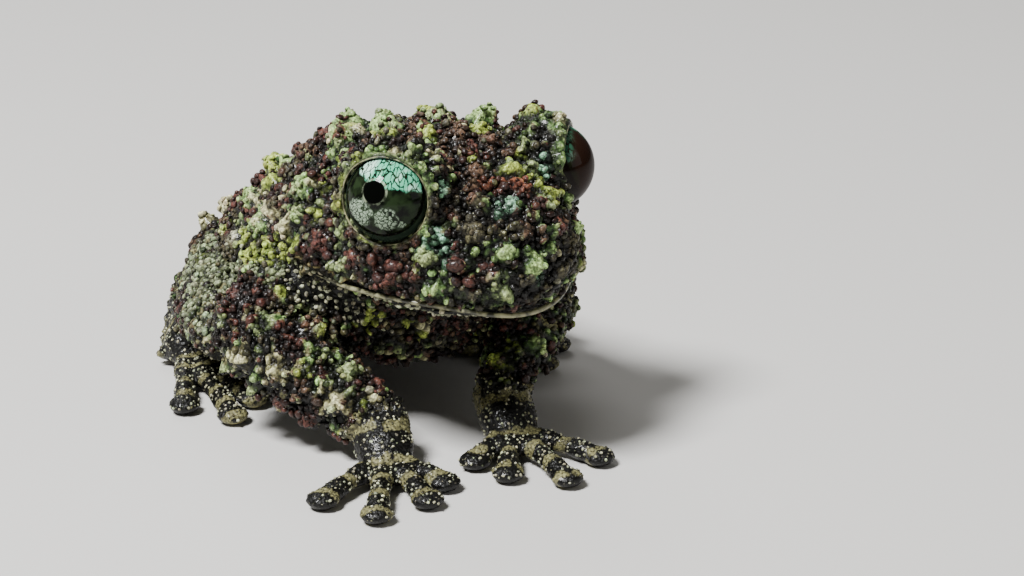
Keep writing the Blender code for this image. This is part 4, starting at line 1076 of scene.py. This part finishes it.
mossy, tree, shader = new_material("mossy_skin")
tint = node(tree, "ShaderNodeVertexColor", {"layer_name": "tint"}, {})
place = node(tree, "ShaderNodeTexCoord", {}, {}, 3)
grain = node(tree, "ShaderNodeTexVoronoi", {}, {"Vector": place, "Scale": 5200.0, "Randomness": 1.0})
fleck = node(tree, "ShaderNodeTexNoise", {}, {"Vector": place, "Scale": 5600.0, "Detail": 2.0})
cloud = node(tree, "ShaderNodeTexNoise", {}, {"Vector": place, "Scale": 1100.0, "Detail": 2.0})
# The fine speckle is paler where the bump below stands up, and the grain's cell edges are darker where it
# sinks: random tone with painted light and shade.
flecked = mix(tree, fleck.between(0.36, 0.62), (0.50, 0.50, 0.52), (1.25, 1.25, 1.22))
grain_hollow_shade = mix(tree, grain.between(0.25, 0.75), (1.1, 1.1, 1.1), (0.62, 0.6, 0.6))
shade = mix(tree, 1.0, flecked, grain_hollow_shade, "MULTIPLY")
mottled = mix(tree, 1.0, tint, shade, "MULTIPLY")
height = fleck * 0.7 - grain
bump = node(tree, "ShaderNodeBump", {}, {"Strength": 0.75, "Distance": 0.00008, "Height": height})
feed(tree, shader, Base_Color=mottled, Roughness=0.40 + 0.2 * cloud.between(0.35, 0.7), Normal=bump)
feed(tree, shader, Specular_IOR_Level=0.22, Coat_Weight=0.16, Coat_Roughness=0.08)
skin_mesh.materials.append(mossy)
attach(skin, "root")
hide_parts(*part_names)

# Warts and grains: firm beads of skin. Round maroon knobs stand singly, crumbs are
# crowded on the mounds and in the coloured patches, and pale dots and finer grains stand
# on the black skin between. Each is a closed, blunt bead with its root sunk in the skin.
KNOB_FORM = (10, ((0.92, -0.5), (1.06, 0.05), (0.94, 0.48), (0.58, 0.84)))
CRUMB_FORM = (6, ((1.0, -0.5), (0.98, 0.28), (0.6, 0.8)))
GRAIN_FORM = (5, ((1.0, -0.5), (0.84, 0.5)))
KNOBS = (
    ((-6.9, -11.5, 15.8), 0.5), ((-5.6, -12.5, 15.6), 0.55), ((-2.5, -16.2, 16.3), 0.52),
    ((-1.7, -16.8, 15.1), 0.42), ((-0.6, -16.7, 16.0), 0.36), ((2.3, -13.7, 20.4), 0.45),
    ((-8.1, 2.0, 16.9), 0.4), ((-8.9, 11.5, 10.4), 0.26), ((-8.9, 11.6, 9.4), 0.28),
    ((-9.2, 11.0, 8.7), 0.26),
)
PALE_KNOBS = 3
KNOB_SHARE = {"maroon": 0.06, "brown": 0.02, "rust": 0.04}
CRUMB_SHARE = {
    "khaki": 0.05, "dotted": 0.0, "black": 0.30, "pale": 0.1, "mint": 0.07, "sage": 0.12,
    "cream": 0.07, "lime": 0.08, "turquoise": 0.2, "tan": 0.03, "lichen": 0.8,
}
DOT_SHARE = {"dotted": 1.0, "khaki": 0.3}
GRAIN_SHARE = {"dotted": 0.3, "tan": 0.15, "mint": 0.25, "cream": 0.25, "lime": 0.25, "sage": 0.35}
LAYERS = (
    ("knobs", KNOB_FORM, (0.00020, 0.00036), 20000, 1.0, KNOB_SHARE, 0.0),
    ("crumbs", CRUMB_FORM, (0.00013, 0.00029), 110000, 0.76, CRUMB_SHARE, 0.45),
    ("dots", CRUMB_FORM, (0.00010, 0.00016), 60000, 1.25, DOT_SHARE, 0.0),
    ("grains", GRAIN_FORM, (0.000055, 0.00011), 90000, 1.15, GRAIN_SHARE, 0.6),
)
THIN_SKIN_BEADS, NECK_BEADS, STRAY_SHARE = 0.72, 1.25, 0.07
STRAYS = {"black": 0.34, "cream": 0.12, "pale": 0.20, "sage": 0.16, "maroon": 0.18}
DARK_KINDS, RED_KINDS = ("black", "maroon", "brown", "dotted"), ("maroon", "brown", "rust")
BEAD_UNEVEN, BEAD_STRETCH, BEAD_LEAN = (0.84, 1.16), (0.82, 1.22), 0.28
NOSTRIL_CLEAR, EAR_CLEAR, LIP_CLEAR = 0.55, 0.95, 0.22
NECK_ABOVE, NECK_ASIDE, EARLIER_REACH = 0.0075, -4.5, 0.8
PATCH_ACROSS, PATCH_SPAN, MAP_MARGIN = 0.003, 2.6, 0.004


def thrown(count, draw):
    """Random points spread evenly over the skin: the face by its area, and a place in it
    by two random numbers, folded back over the diagonal."""
    skin_mesh.calc_loop_triangles()
    corners = np.empty(len(skin_mesh.loop_triangles) * 3, np.int32)
    skin_mesh.loop_triangles.foreach_get("vertices", corners)
    a, b, c = (skin_points[corners.reshape(-1, 3)[:, i]] for i in range(3))
    area = np.linalg.norm(np.cross(b - a, c - a), axis=1)
    face = np.searchsorted(np.cumsum(area) / area.sum(), draw.random(count))
    face = np.minimum(face, len(area) - 1)
    s, t = draw.random((2, count))
    s, t = np.where(s + t > 1, 1 - s, s), np.where(s + t > 1, 1 - t, t)
    points = a[face] + s[:, None] * (b - a)[face] + t[:, None] * (c - a)[face]
    nearest = corners.reshape(-1, 3)[face, 0]
    return points, nearest


def kept_bare(points, normals, radii):
    """True where no wart may stand: eyes, lids, nostrils, eardrums, the lip and palms."""
    local = designed(points)
    bare_here = (local[:, 2] * UNIT < radii * 0.9) | ((local[:, 2] < 0.7) & (normals[:, 2] < 0.1))
    for side, _ in SIDES:
        along, aside = beside_eye(local, side)
        bare_here |= (along > -0.5) & (aside < LID_RADIUS + radii / UNIT * 0.5)
        for spot, reach in ((NOSTRIL_AT, NOSTRIL_CLEAR), (EAR_AT, EAR_CLEAR)):
            bare_here |= np.linalg.norm(local - from_head(spot * (side, 1, 1)), axis=1) < reach
    on_head = to_head(local)
    lip = np.abs(on_head[:, 2] - lip_level(on_head[:, 0])) < LIP_CLEAR + radii / UNIT * 0.6
    return bare_here | (lip & (on_head[:, 1] < 7.0))


def chosen(points, radii, spacing, taken, taken_radii, reach):
    """Keeps each point in turn unless an earlier one, or one taken before, is too near."""
    tree = tree_of(points)
    open_still = np.ones(len(points), bool)
    for point, radius in zip(taken, taken_radii):
        for _, other, away in tree.find_range(point, radius * reach + radii.max()):
            if away < radius * reach + radii[other] * 0.6:
                open_still[other] = False
    keep = []
    widest = radii.max()
    for index in range(len(points)):
        if not open_still[index]:
            continue
        keep.append(index)
        for _, other, away in tree.find_range(points[index], spacing * (radii[index] + widest)):
            if other > index and away < spacing * (radii[index] + radii[other]):
                open_still[other] = False
    return np.array(keep)


def unwrapped(points, normals, parts):
    """Places on a flat map of the skin. Each part has its own rectangle, crossed by the
    angle round the part's long axis and the way along it, or, on hands and feet, by
    the view from above, with the underside in the other half."""
    flat = np.zeros((len(points), 2))
    for part, name in enumerate(part_names):
        here = np.flatnonzero(parts == part)
        left, low, right, high = MAP_PLACES[name]
        own = cage_points[cage_parts == part]
        middle = own.mean(axis=0)
        axes = np.linalg.svd(own - middle, full_matrices=False)[2]
        if name.startswith(("hand", "foot")):
            span = np.abs((own - middle)[:, :2]).max(axis=0) * 1.04
            across = (points[here] - middle)[:, :2] / span * 0.5 + 0.5
            across[:, 0] = across[:, 0] * 0.49 + np.where(normals[here, 2] < 0, 0.51, 0.0)
        else:
            apart = points[here] - middle
            longest = np.abs((own - middle) @ axes[0]).max() * 1.1
            turn = np.arctan2(apart @ axes[1], apart @ axes[2]) / (2 * math.pi) + 0.5
            across = np.stack([turn, (apart @ axes[0]) / longest * 0.5 + 0.5], axis=1)
        across = across.clip(0, 1)
        corner, size = np.array([left, low]), np.array([right - left, high - low])
        flat[here] = corner + MAP_MARGIN + across * (size - 2 * MAP_MARGIN)
    return flat


def tangents(normals):
    """Two directions across each normal."""
    aside = np.where(np.abs(normals[:, 2:]) < 0.8, (0.0, 0.0, 1.0), (1.0, 0.0, 0.0))
    first = unit(np.cross(normals, aside))
    return first, np.cross(normals, first)


def bead_mesh(name, form, roots, normals, radii, heights, shaded_root_tints, tip_tints, flats, draw):
    """Beads as one mesh: each is rings of the form's widths and heights round its normal,
    every width varied a little, leaned to one side, and closed above and below."""
    sides, rings = form
    count = len(roots)
    first, second = tangents(normals)
    turn = draw.uniform(0, 2 * math.pi, (count, 1)) + full_turn(sides)
    widths = np.array([ring[0] for ring in rings])[None, :, None]
    rises = np.array([ring[1] for ring in rings])
    uneven = draw.uniform(*BEAD_UNEVEN, (count, len(rings), sides))
    stretch = draw.uniform(*BEAD_STRETCH, (count, 1, 1))
    x = np.cos(turn)[:, None, :] * widths * uneven * stretch
    y = np.sin(turn)[:, None, :] * widths * uneven / stretch
    z = np.broadcast_to(rises[None, :, None], x.shape)
    lean = draw.uniform(-BEAD_LEAN, BEAD_LEAN, (count, 2))
    x = x + lean[:, :1, None] * np.maximum(z, 0)
    y = y + lean[:, 1:, None] * np.maximum(z, 0)
    body = np.stack([x, y, z], axis=-1).reshape(count, -1, 3)
    tip = np.stack([lean[:, 0], lean[:, 1], np.ones(count)], axis=-1)[:, None, :]
    shape = np.concatenate([body, tip], axis=1)
    points = roots[:, None, :] + radii[:, None, None] * (
        shape[..., :1] * first[:, None, :] + shape[..., 1:2] * second[:, None, :]
    )
    points = points + (heights[:, None] * shape[..., 2])[..., None] * normals[:, None, :]
    per_bead = shape.shape[1]
    around = np.arange(sides)
    after = (around + 1) % sides
    faces = []
    for ring in range(len(rings) - 1):
        low, high = ring * sides, (ring + 1) * sides
        faces.append(np.stack([low + around, low + after, high + after], axis=1))
        faces.append(np.stack([low + around, high + after, high + around], axis=1))
    top = (len(rings) - 1) * sides
    faces.append(np.stack([top + around, top + after, np.full(sides, per_bead - 1)], axis=1))
    faces.append(np.stack([np.zeros(sides - 2, int), around[2:], around[1:-1]], axis=1))
    faces = np.concatenate(faces)
    all_faces = (faces[None] + per_bead * np.arange(count)[:, None, None]).reshape(-1, 3)
    mesh = array_mesh(name, points.reshape(-1, 3), all_faces)
    round_shaded(mesh)
    # Each bead's colour runs from its root tint, darkened as painted shade, to its tip tint, pale partly by
    # its own colour and partly as painted light.
    share = np.clip(shape[..., 2:] * 1.1 + 0.1, 0, 1)
    paint(mesh, (shaded_root_tints[:, None, :] * (1 - share) + tip_tints[:, None, :] * share).reshape(-1, 3))
    spots = flats[:, None, :] + shape[..., :2] * (PATCH_ACROSS / PATCH_SPAN)
    lay_map(mesh, "OFBake", spots.reshape(-1, 2))
    return mesh


MAP_PLACES = {
    "head": (0.0, 0.0, 0.34, 0.42), "torso": (0.34, 0.0, 0.84, 0.42),
    "upper_arm_left": (0.84, 0.0, 1.0, 0.21), "upper_arm_right": (0.84, 0.21, 1.0, 0.42),
    "thigh_left": (0.0, 0.42, 0.26, 0.64), "thigh_right": (0.26, 0.42, 0.52, 0.64),
    "shank_left": (0.52, 0.42, 0.76, 0.64), "shank_right": (0.76, 0.42, 1.0, 0.64),
    "forearm_left": (0.0, 0.64, 0.2, 0.82), "forearm_right": (0.0, 0.82, 0.2, 1.0),
    "hand_left": (0.2, 0.64, 0.56, 0.82), "hand_right": (0.2, 0.82, 0.56, 1.0),
    "foot_left": (0.56, 0.64, 1.0, 0.82), "foot_right": (0.56, 0.82, 1.0, 1.0),
}
COAT_PIECES = {
    "head": ("head",),
    "torso": ("torso",),
    "arm_left": ("upper_arm_left", "forearm_left", "hand_left"),
    "arm_right": ("upper_arm_right", "forearm_right", "hand_right"),
    "leg_left": ("thigh_left", "shank_left", "foot_left"),
    "leg_right": ("thigh_right", "shank_right", "foot_right"),
}
draw = np.random.default_rng(SEED + 1)
roots, radii = np.zeros((0, 3)), np.zeros(0)
coat_layers = []
for layer, form, sizes, tries, spacing, shares, usual in LAYERS:
    throws, nearest = thrown(tries, draw)
    sizes_here = draw.uniform(*sizes, tries)
    fine = thin_skin[nearest]
    sizes_here = np.where(fine, sizes_here * THIN_SKIN_BEADS, sizes_here)
    share = np.array([shares.get(kind, usual) for kind in KIND])[skin_kinds[nearest]]
    allowed = (draw.random(tries) < share) & ~kept_bare(throws, skin_normals[nearest], sizes_here)
    if layer == "dots":
        neck = (skin_points[nearest, 2] > NECK_ABOVE) & (head_points[nearest, 0] < NECK_ASIDE)
        allowed &= neck | (draw.random(tries) < np.where(fine, 0.3, 0.1))
        sizes_here = np.where(neck, sizes_here * NECK_BEADS, sizes_here)
    if layer in ("knobs", "crumbs"):
        allowed &= (skin_normals[nearest, 2] > np.where(chest[nearest], CHEST_FACING, -0.4)) & ~fine
    throws, nearest, sizes_here = throws[allowed], nearest[allowed], sizes_here[allowed]
    if layer == "knobs":
        spots = [int(np.linalg.norm(skin_points - placed(spot), axis=1).argmin()) for spot, _ in KNOBS]
        throws = np.concatenate([skin_points[spots], throws])
        nearest = np.concatenate([spots, nearest])
        sizes_here = np.concatenate([[size * UNIT for _, size in KNOBS], sizes_here])
    keep = chosen(throws, sizes_here, spacing, roots, radii, EARLIER_REACH)
    roots = np.concatenate([roots, throws[keep]])
    radii = np.concatenate([radii, sizes_here[keep]])
    coat_layers.append((layer, form, throws[keep], nearest[keep], sizes_here[keep]))
for layer, form, places, nearest, sizes_here in coat_layers:
    kinds, parts = skin_kinds[nearest].copy(), skin_parts[nearest]
    count = len(places)
    if layer == "grains":
        in_dark = np.isin(kinds, [KIND[kind] for kind in DARK_KINDS])
        pale_ones = draw.random(count) < np.where(in_dark, 0.12, 0.06)
        kinds[pale_ones] = KIND["pale"]
    if layer == "crumbs":
        stray = draw.random(count) < STRAY_SHARE
        others = [KIND[kind] for kind in STRAYS]
        kinds[stray] = draw.choice(others, stray.sum(), p=tuple(STRAYS.values()))
    share = np.clip(tipness[nearest] + 0.06 + draw.normal(0, 0.09, count), 0.05, 1)
    red = np.isin(kinds, [KIND[kind] for kind in RED_KINDS])
    share[red] *= draw.uniform(0.45, 1.0, red.sum())
    if layer == "knobs":
        kinds[:len(KNOBS)] = KIND["maroon"]
        kinds[len(KNOBS) - PALE_KNOBS:len(KNOBS)] = KIND["dotted"]
        share = draw.uniform(0.5, 0.8, count)
    for name, least, most in (("dotted", 0.7, 1.0), ("lichen", 0.45, 1.0), ("pale", 0.3, 0.85)):
        alike = kinds == KIND[name]
        share[alike] = draw.uniform(least, most, alike.sum())
        if name == "dotted" and layer == "grains":
            share[alike] -= 0.2
    # Tip colours follow the skin's painted light on raised places. Root colours are painted shade, much
    # darker than the tips except on dots.
    tips = toned(kinds, share) * draw.uniform(0.92, 1.08, (count, 3))
    feet = toned(kinds, share * (0.92 if layer == "dots" else 0.35))
    heights = sizes_here * draw.uniform(0.65, 1.15, count)
    stand = unit(skin_normals[nearest] * 0.6 + base_normals[nearest] * 0.4)
    flats = unwrapped(designed(places), stand, parts)
    for piece_name, names in COAT_PIECES.items():
        here = np.isin(parts, [PART[name] for name in names])
        if not here.any():
            continue
        mesh = bead_mesh(
            f"{layer}_{piece_name}", form, places[here], stand[here], sizes_here[here],
            heights[here], feet[here], tips[here], flats[here], draw,
        )
        piece = new_object(mesh.name, mesh, mossy)
        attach(piece, "root")

# Lids and lip: thin smooth edges of skin, a pale line round each eye and another along
# the upper lip, grown from the head.
LID_LINE_RADIUS, LID_LINE_THICKNESS, LID_LINE_OUT = 3.20, 0.075, 1.12
LIP_THICKNESS, LIP_OUT, LIP_LEAST = 0.19, 1.004, 0.962
LID_LINE_ROWS, LID_LINE_COLUMNS, LIP_STEPS = 120, 10, 161


def tube_mesh(name, path, ways, thickness, sides=8):
    """A closed tube along a path: at each point a circle across the path's direction,
    drawn to nothing at both ends."""
    ahead = unit(np.gradient(path, axis=0))
    across = unit(np.cross(ahead, ways))
    other = np.cross(across, ahead)
    angle = full_turn(sides)
    circle = np.cos(angle)[None, :, None] * across[:, None, :]
    circle = circle + np.sin(angle)[None, :, None] * other[:, None, :]
    taper = np.minimum(1, np.linspace(0, 12, len(path))) * np.minimum(1, np.linspace(12, 0, len(path)))
    rings = path[:, None, :] + (thickness * taper)[:, None, None] * circle
    mesh = array_mesh(name, placed(rings.reshape(-1, 3)), grid_faces(len(path), sides))
    round_shaded(mesh)
    return mesh


edge, tree, shader = new_material("lid_and_lip")
place = node(tree, "ShaderNodeTexCoord", {}, {}, 3)
cloud = node(tree, "ShaderNodeTexNoise", {}, {"Vector": place, "Scale": 1500.0, "Detail": 2.0})
edge_dark, edge_pale = (tuple(in_light(c)) for c in ((46, 46, 32), (146, 144, 108)))
feed(tree, shader, Base_Color=mix(tree, cloud.between(0.38, 0.6), edge_dark, edge_pale), Roughness=0.4)
feed(tree, shader, Coat_Weight=0.2, Coat_Roughness=0.2)
for side, side_name in SIDES:
    line = lid_ring(
        side, LID_LINE_RADIUS, LID_LINE_THICKNESS, LID_LINE_OUT,
        rows=LID_LINE_ROWS + 1, columns=LID_LINE_COLUMNS,
    )
    line_faces = grid_faces(LID_LINE_ROWS, LID_LINE_COLUMNS, ring=True)
    mesh = array_mesh(f"lid_{side_name}", placed(line[:-1].reshape(-1, 3)), line_faces)
    round_shaded(mesh)
    lid = new_object(mesh.name, mesh, edge)
    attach(lid, "root")
lip_angle = np.linspace(math.radians(-8), math.radians(-172), LIP_STEPS)
lip_power = 2 / MUZZLE_BLUNTNESS
lip_across = HEAD_HALF_WIDTH * signed_power(np.cos(lip_angle), lip_power)
lip_heights = lip_level(LIP_SPREAD * lip_across)
fine_levels = smooth_rows(HEAD_LEVELS, 1401)
lip_rows = fine_levels[np.searchsorted(fine_levels[:, 0], lip_heights)]
lip_y = JAW_CORNER_Y + HEAD_REACH * signed_power(np.sin(lip_angle), lip_power) - HEAD_CENTRE_Y
lip_path = np.stack([
    lip_across * np.maximum(lip_rows[:, 1], LIP_LEAST) * LIP_OUT,
    HEAD_CENTRE_Y + lip_y * np.maximum(lip_rows[:, 2], LIP_LEAST) * LIP_OUT,
    lip_heights,
], axis=1)
lip_mesh = tube_mesh("lip", from_head(lip_path), np.tile((0.0, 0.0, 1.0), (LIP_STEPS, 1)), LIP_THICKNESS)
lip = new_object("lip", lip_mesh, edge)
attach(lip, "root")

# Eyes: large wet balls. The pupil is round and black in a thin gold line, the iris is
# netted with black over mint above and lichen grey below, and a dark rim closes it. The
# mint above is partly painted reflection, with a paler painted reflection in its upper
# front. The left eye's front is painted dull brown as shade, because the photo shows that
# eye from its side alone.
PUPIL_AT, PUPIL_ANGLE = (0.05, 0.26), 0.27
IRIS_AT, IRIS_ANGLE = (-0.10, 0.22), 1.03
PAINTED_REFLECTION_AT, PAINTED_REFLECTION_RADII, IRIS_WANDER = (0.45, 0.90), (0.42, 0.16), 0.22
LICHEN_SPOTS = (
    ((0.47, -0.27), (0.40, 0.28)), ((-0.25, -0.36), (0.32, 0.22)),
    ((-0.58, -0.50), (0.14, 0.08)), ((0.13, -0.23), (0.10, 0.06)),
)
# Iris tones in order: dark, green, mint (partly painted reflection), the pale painted reflection, lichen,
# ring, rim, black, and the painted shade of the left eye's front.
IRIS_TONES = (
    (8, 11, 7), (32, 44, 26), (92, 190, 150), (190, 232, 212), (138, 156, 134), (156, 168, 140),
    (28, 38, 30), (3, 4, 3), (34, 19, 13),
)


def eye_mesh(name, side, rows=49, columns=96):
    """A ball whose pole lies on the way the socket looks. Its map is flat: the angle from
    the pole as the distance from the middle, half the map's width for half a turn."""
    look, across, up = eye_axes(side)
    polar, turn = ball_angles(rows, columns)
    polar = polar[1:-1]
    x, y = np.sin(polar) * np.cos(turn), np.sin(polar) * np.sin(turn)
    z = np.cos(polar) + 0 * turn
    ball = x[..., None] * across * side + y[..., None] * up + z[..., None] * look
    ball = np.concatenate([ball.reshape(-1, 3), [look, -look]])
    flat = np.stack([polar * np.cos(turn), polar * np.sin(turn)], -1).reshape(-1, 2)
    flat = np.concatenate([flat, [(0, 0), (math.pi, 0)]]) / (2 * math.pi) + 0.5
    count = rows - 2
    around = np.arange(columns)
    after = (around + 1) % columns
    pole, end = count * columns, count * columns + 1
    faces = [tuple(face) for face in grid_faces(count, columns)]
    faces += list(zip(after, around, np.full(columns, pole)))
    last = (count - 1) * columns
    faces += list(zip(last + around, last + after, np.full(columns, end)))
    mesh = bpy.data.meshes.new(name)
    ball_points = placed(eye_centre(side) + ball * EYE_RADIUS).tolist()
    mesh.from_pydata(ball_points, [], [list(map(int, face)) for face in faces])
    round_shaded(mesh)
    lay_map(mesh, "iris_map", flat)
    return mesh


iris, tree, shader = new_material("wet_iris")
spot = node(tree, "ShaderNodeUVMap", {"uv_map": "iris_map"}, {})
to_angles, to_middle = (2 * math.pi, 2 * math.pi, 0.0), (-math.pi, -math.pi, 0.0)
scaled = {"operation": "MULTIPLY_ADD"}
centred = node(tree, "ShaderNodeVectorMath", scaled, {0: spot, 1: to_angles, 2: to_middle})
wander = node(tree, "ShaderNodeTexNoise", {}, {"Vector": centred, "Scale": 5.0, "Detail": 3.0}, 1)
bent = node(tree, "ShaderNodeVectorMath", scaled, {0: wander, 1: (IRIS_WANDER, IRIS_WANDER, 0.0), 2: centred})
half_wander = (IRIS_WANDER / 2, IRIS_WANDER / 2, 0.0)
off = node(tree, "ShaderNodeVectorMath", {"operation": "SUBTRACT"}, {0: bent, 1: half_wander})


def away_from(place, vector=off):
    """How far the map's point lies from a place, in radians."""
    return node(tree, "ShaderNodeVectorMath", {"operation": "DISTANCE"}, {0: vector, 1: (*place, 0.0)}, 1)


tall = node(tree, "ShaderNodeVectorMath", {"operation": "MULTIPLY"}, {0: bent, 1: (1.0, 0.42, 1.0)})
edges_only = {"feature": "DISTANCE_TO_EDGE"}
wide_cells = node(tree, "ShaderNodeTexVoronoi", edges_only, {"Vector": tall, "Scale": 10.0})
fine_cells = node(tree, "ShaderNodeTexVoronoi", edges_only, {"Vector": bent, "Scale": 11.0})
blotch = node(tree, "ShaderNodeTexNoise", {}, {"Vector": bent, "Scale": 3.2, "Detail": 4.0})
bright = node(tree, "ShaderNodeVertexColor", {"layer_name": "tint"}, {})
off_across = node(tree, "ShaderNodeSeparateXYZ", {}, {0: off})
off_up = node(tree, "ShaderNodeSeparateXYZ", {}, {0: off}, 1)
off_pupil, off_iris = away_from(PUPIL_AT, centred), away_from(IRIS_AT, centred)
iris_dark, iris_green, iris_mint, iris_reflection, iris_lichen, iris_ring, iris_rim, iris_black, iris_shaded = (
    tuple(in_light(tone)) for tone in IRIS_TONES
)
colour = mix(tree, blotch.between(0.38, 0.62), iris_dark, iris_green)
# The mint above is partly the iris's own colour and partly painted reflection.
above = (off_up - 0.6 * off_across.most(0.0)).between(0.30, 0.40)
mint_share = above * wide_cells.between(0.03, 0.13) * bright
# Painted reflection: a paler patch in the upper front of the mint, with blotches of it, stands for a bright
# reflection on the wet eye.
painted_reflection = away_from(PAINTED_REFLECTION_AT).between(*PAINTED_REFLECTION_RADII).most(blotch.between(0.50, 0.66) * 0.7)
colour = mix(tree, mint_share, colour, mix(tree, painted_reflection, iris_mint, iris_reflection))
lichens = 0.0
for lichen_at, lichen_radii in LICHEN_SPOTS:
    lichens = away_from(lichen_at).between(*lichen_radii).most(lichens)
colour = mix(tree, lichens * fine_cells.between(0.04, 0.15) * bright, colour, iris_lichen)
ring_share = off_pupil.between(PUPIL_ANGLE + 0.06, PUPIL_ANGLE + 0.03) * blotch.between(0.40, 0.56)
colour = mix(tree, ring_share * bright * 0.6, colour, iris_ring)
colour = mix(tree, off_pupil.between(PUPIL_ANGLE + 0.01, PUPIL_ANGLE - 0.02), colour, iris_black)
colour = mix(tree, off_iris.between(IRIS_ANGLE - 0.06, IRIS_ANGLE), colour, iris_black)
colour = mix(tree, off_iris.between(IRIS_ANGLE + 0.04, IRIS_ANGLE + 0.10) * bright, colour, iris_rim)
# Painted shade: where the tint is low, on the left eye's front, the iris turns dull brown.
colour = mix(tree, bright.between(0.0, 0.5), iris_shaded, colour)
feed(tree, shader, Base_Color=colour, Roughness=0.5, Specular_IOR_Level=0.0)
feed(tree, shader, Coat_Weight=0.34, Coat_Roughness=0.03, Coat_IOR=1.38)
for side, side_name in SIDES:
    mesh = eye_mesh(f"eyeball_{side_name}", side)
    ball_points = (mesh_points(mesh) - placed(eye_centre(side))) / UNIT / EYE_RADIUS
    look, across, _ = eye_axes(side)
    # Painted shade for the left eye: its front, round the pole, is dimmed. The right eye is kept fully
    # bright.
    rearward = 1.0 if side < 0 else np.clip((ball_points @ across + 0.1) / 0.4, 0, 1)
    shown = np.clip((0.7 - ball_points @ look) / 0.6, 0.05, 0.28)
    shown += (1 - shown) * rearward
    paint(mesh, np.repeat(shown[:, None], 3, axis=1))
    ball = new_object(mesh.name, mesh, iris)
    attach(ball, "root")
    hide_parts(f"eye_{side_name}")

# Floor and light: a plain pale floor, a large soft window light from the upper left, a
# weaker one from the right, one from behind, and a pale room all round.
floor_corners = np.array([(-3, -3, 0), (3, -3, 0), (3, 3, 0), (-3, 3, 0)], float)
floor_mesh = array_mesh("floor", floor_corners, np.array([(0, 1, 2, 3)]))
floor_paint, tree, shader = new_material("pale_floor")
feed(tree, shader, Base_Color=(0.60, 0.59, 0.57, 1.0), Roughness=0.85)
floor = new_object("floor", floor_mesh, floor_paint)
for name, place, size, power in (
    ("window", (-0.20, -0.06, 0.34), 0.10, 3.9),
    ("fill", (0.30, -0.28, 0.16), 0.25, 0.22),
    ("rear", (0.05, 0.32, 0.30), 0.22, 0.5),
):
    lamp = bpy.data.lights.new(name, "AREA")
    lamp.size = size
    lamp.energy = power
    held = bpy.data.objects.new(name, lamp)
    held.location = place
    held.rotation_euler = Vector(place).to_track_quat("Z", "Y").to_euler()
    bpy.context.scene.collection.objects.link(held)
world = bpy.data.worlds.new("room")
world.use_nodes = True
world.node_tree.nodes["Background"].inputs["Color"].default_value = (0.90, 0.87, 0.80, 1.0)
world.node_tree.nodes["Background"].inputs["Strength"].default_value = 0.15
bpy.context.scene.world = world
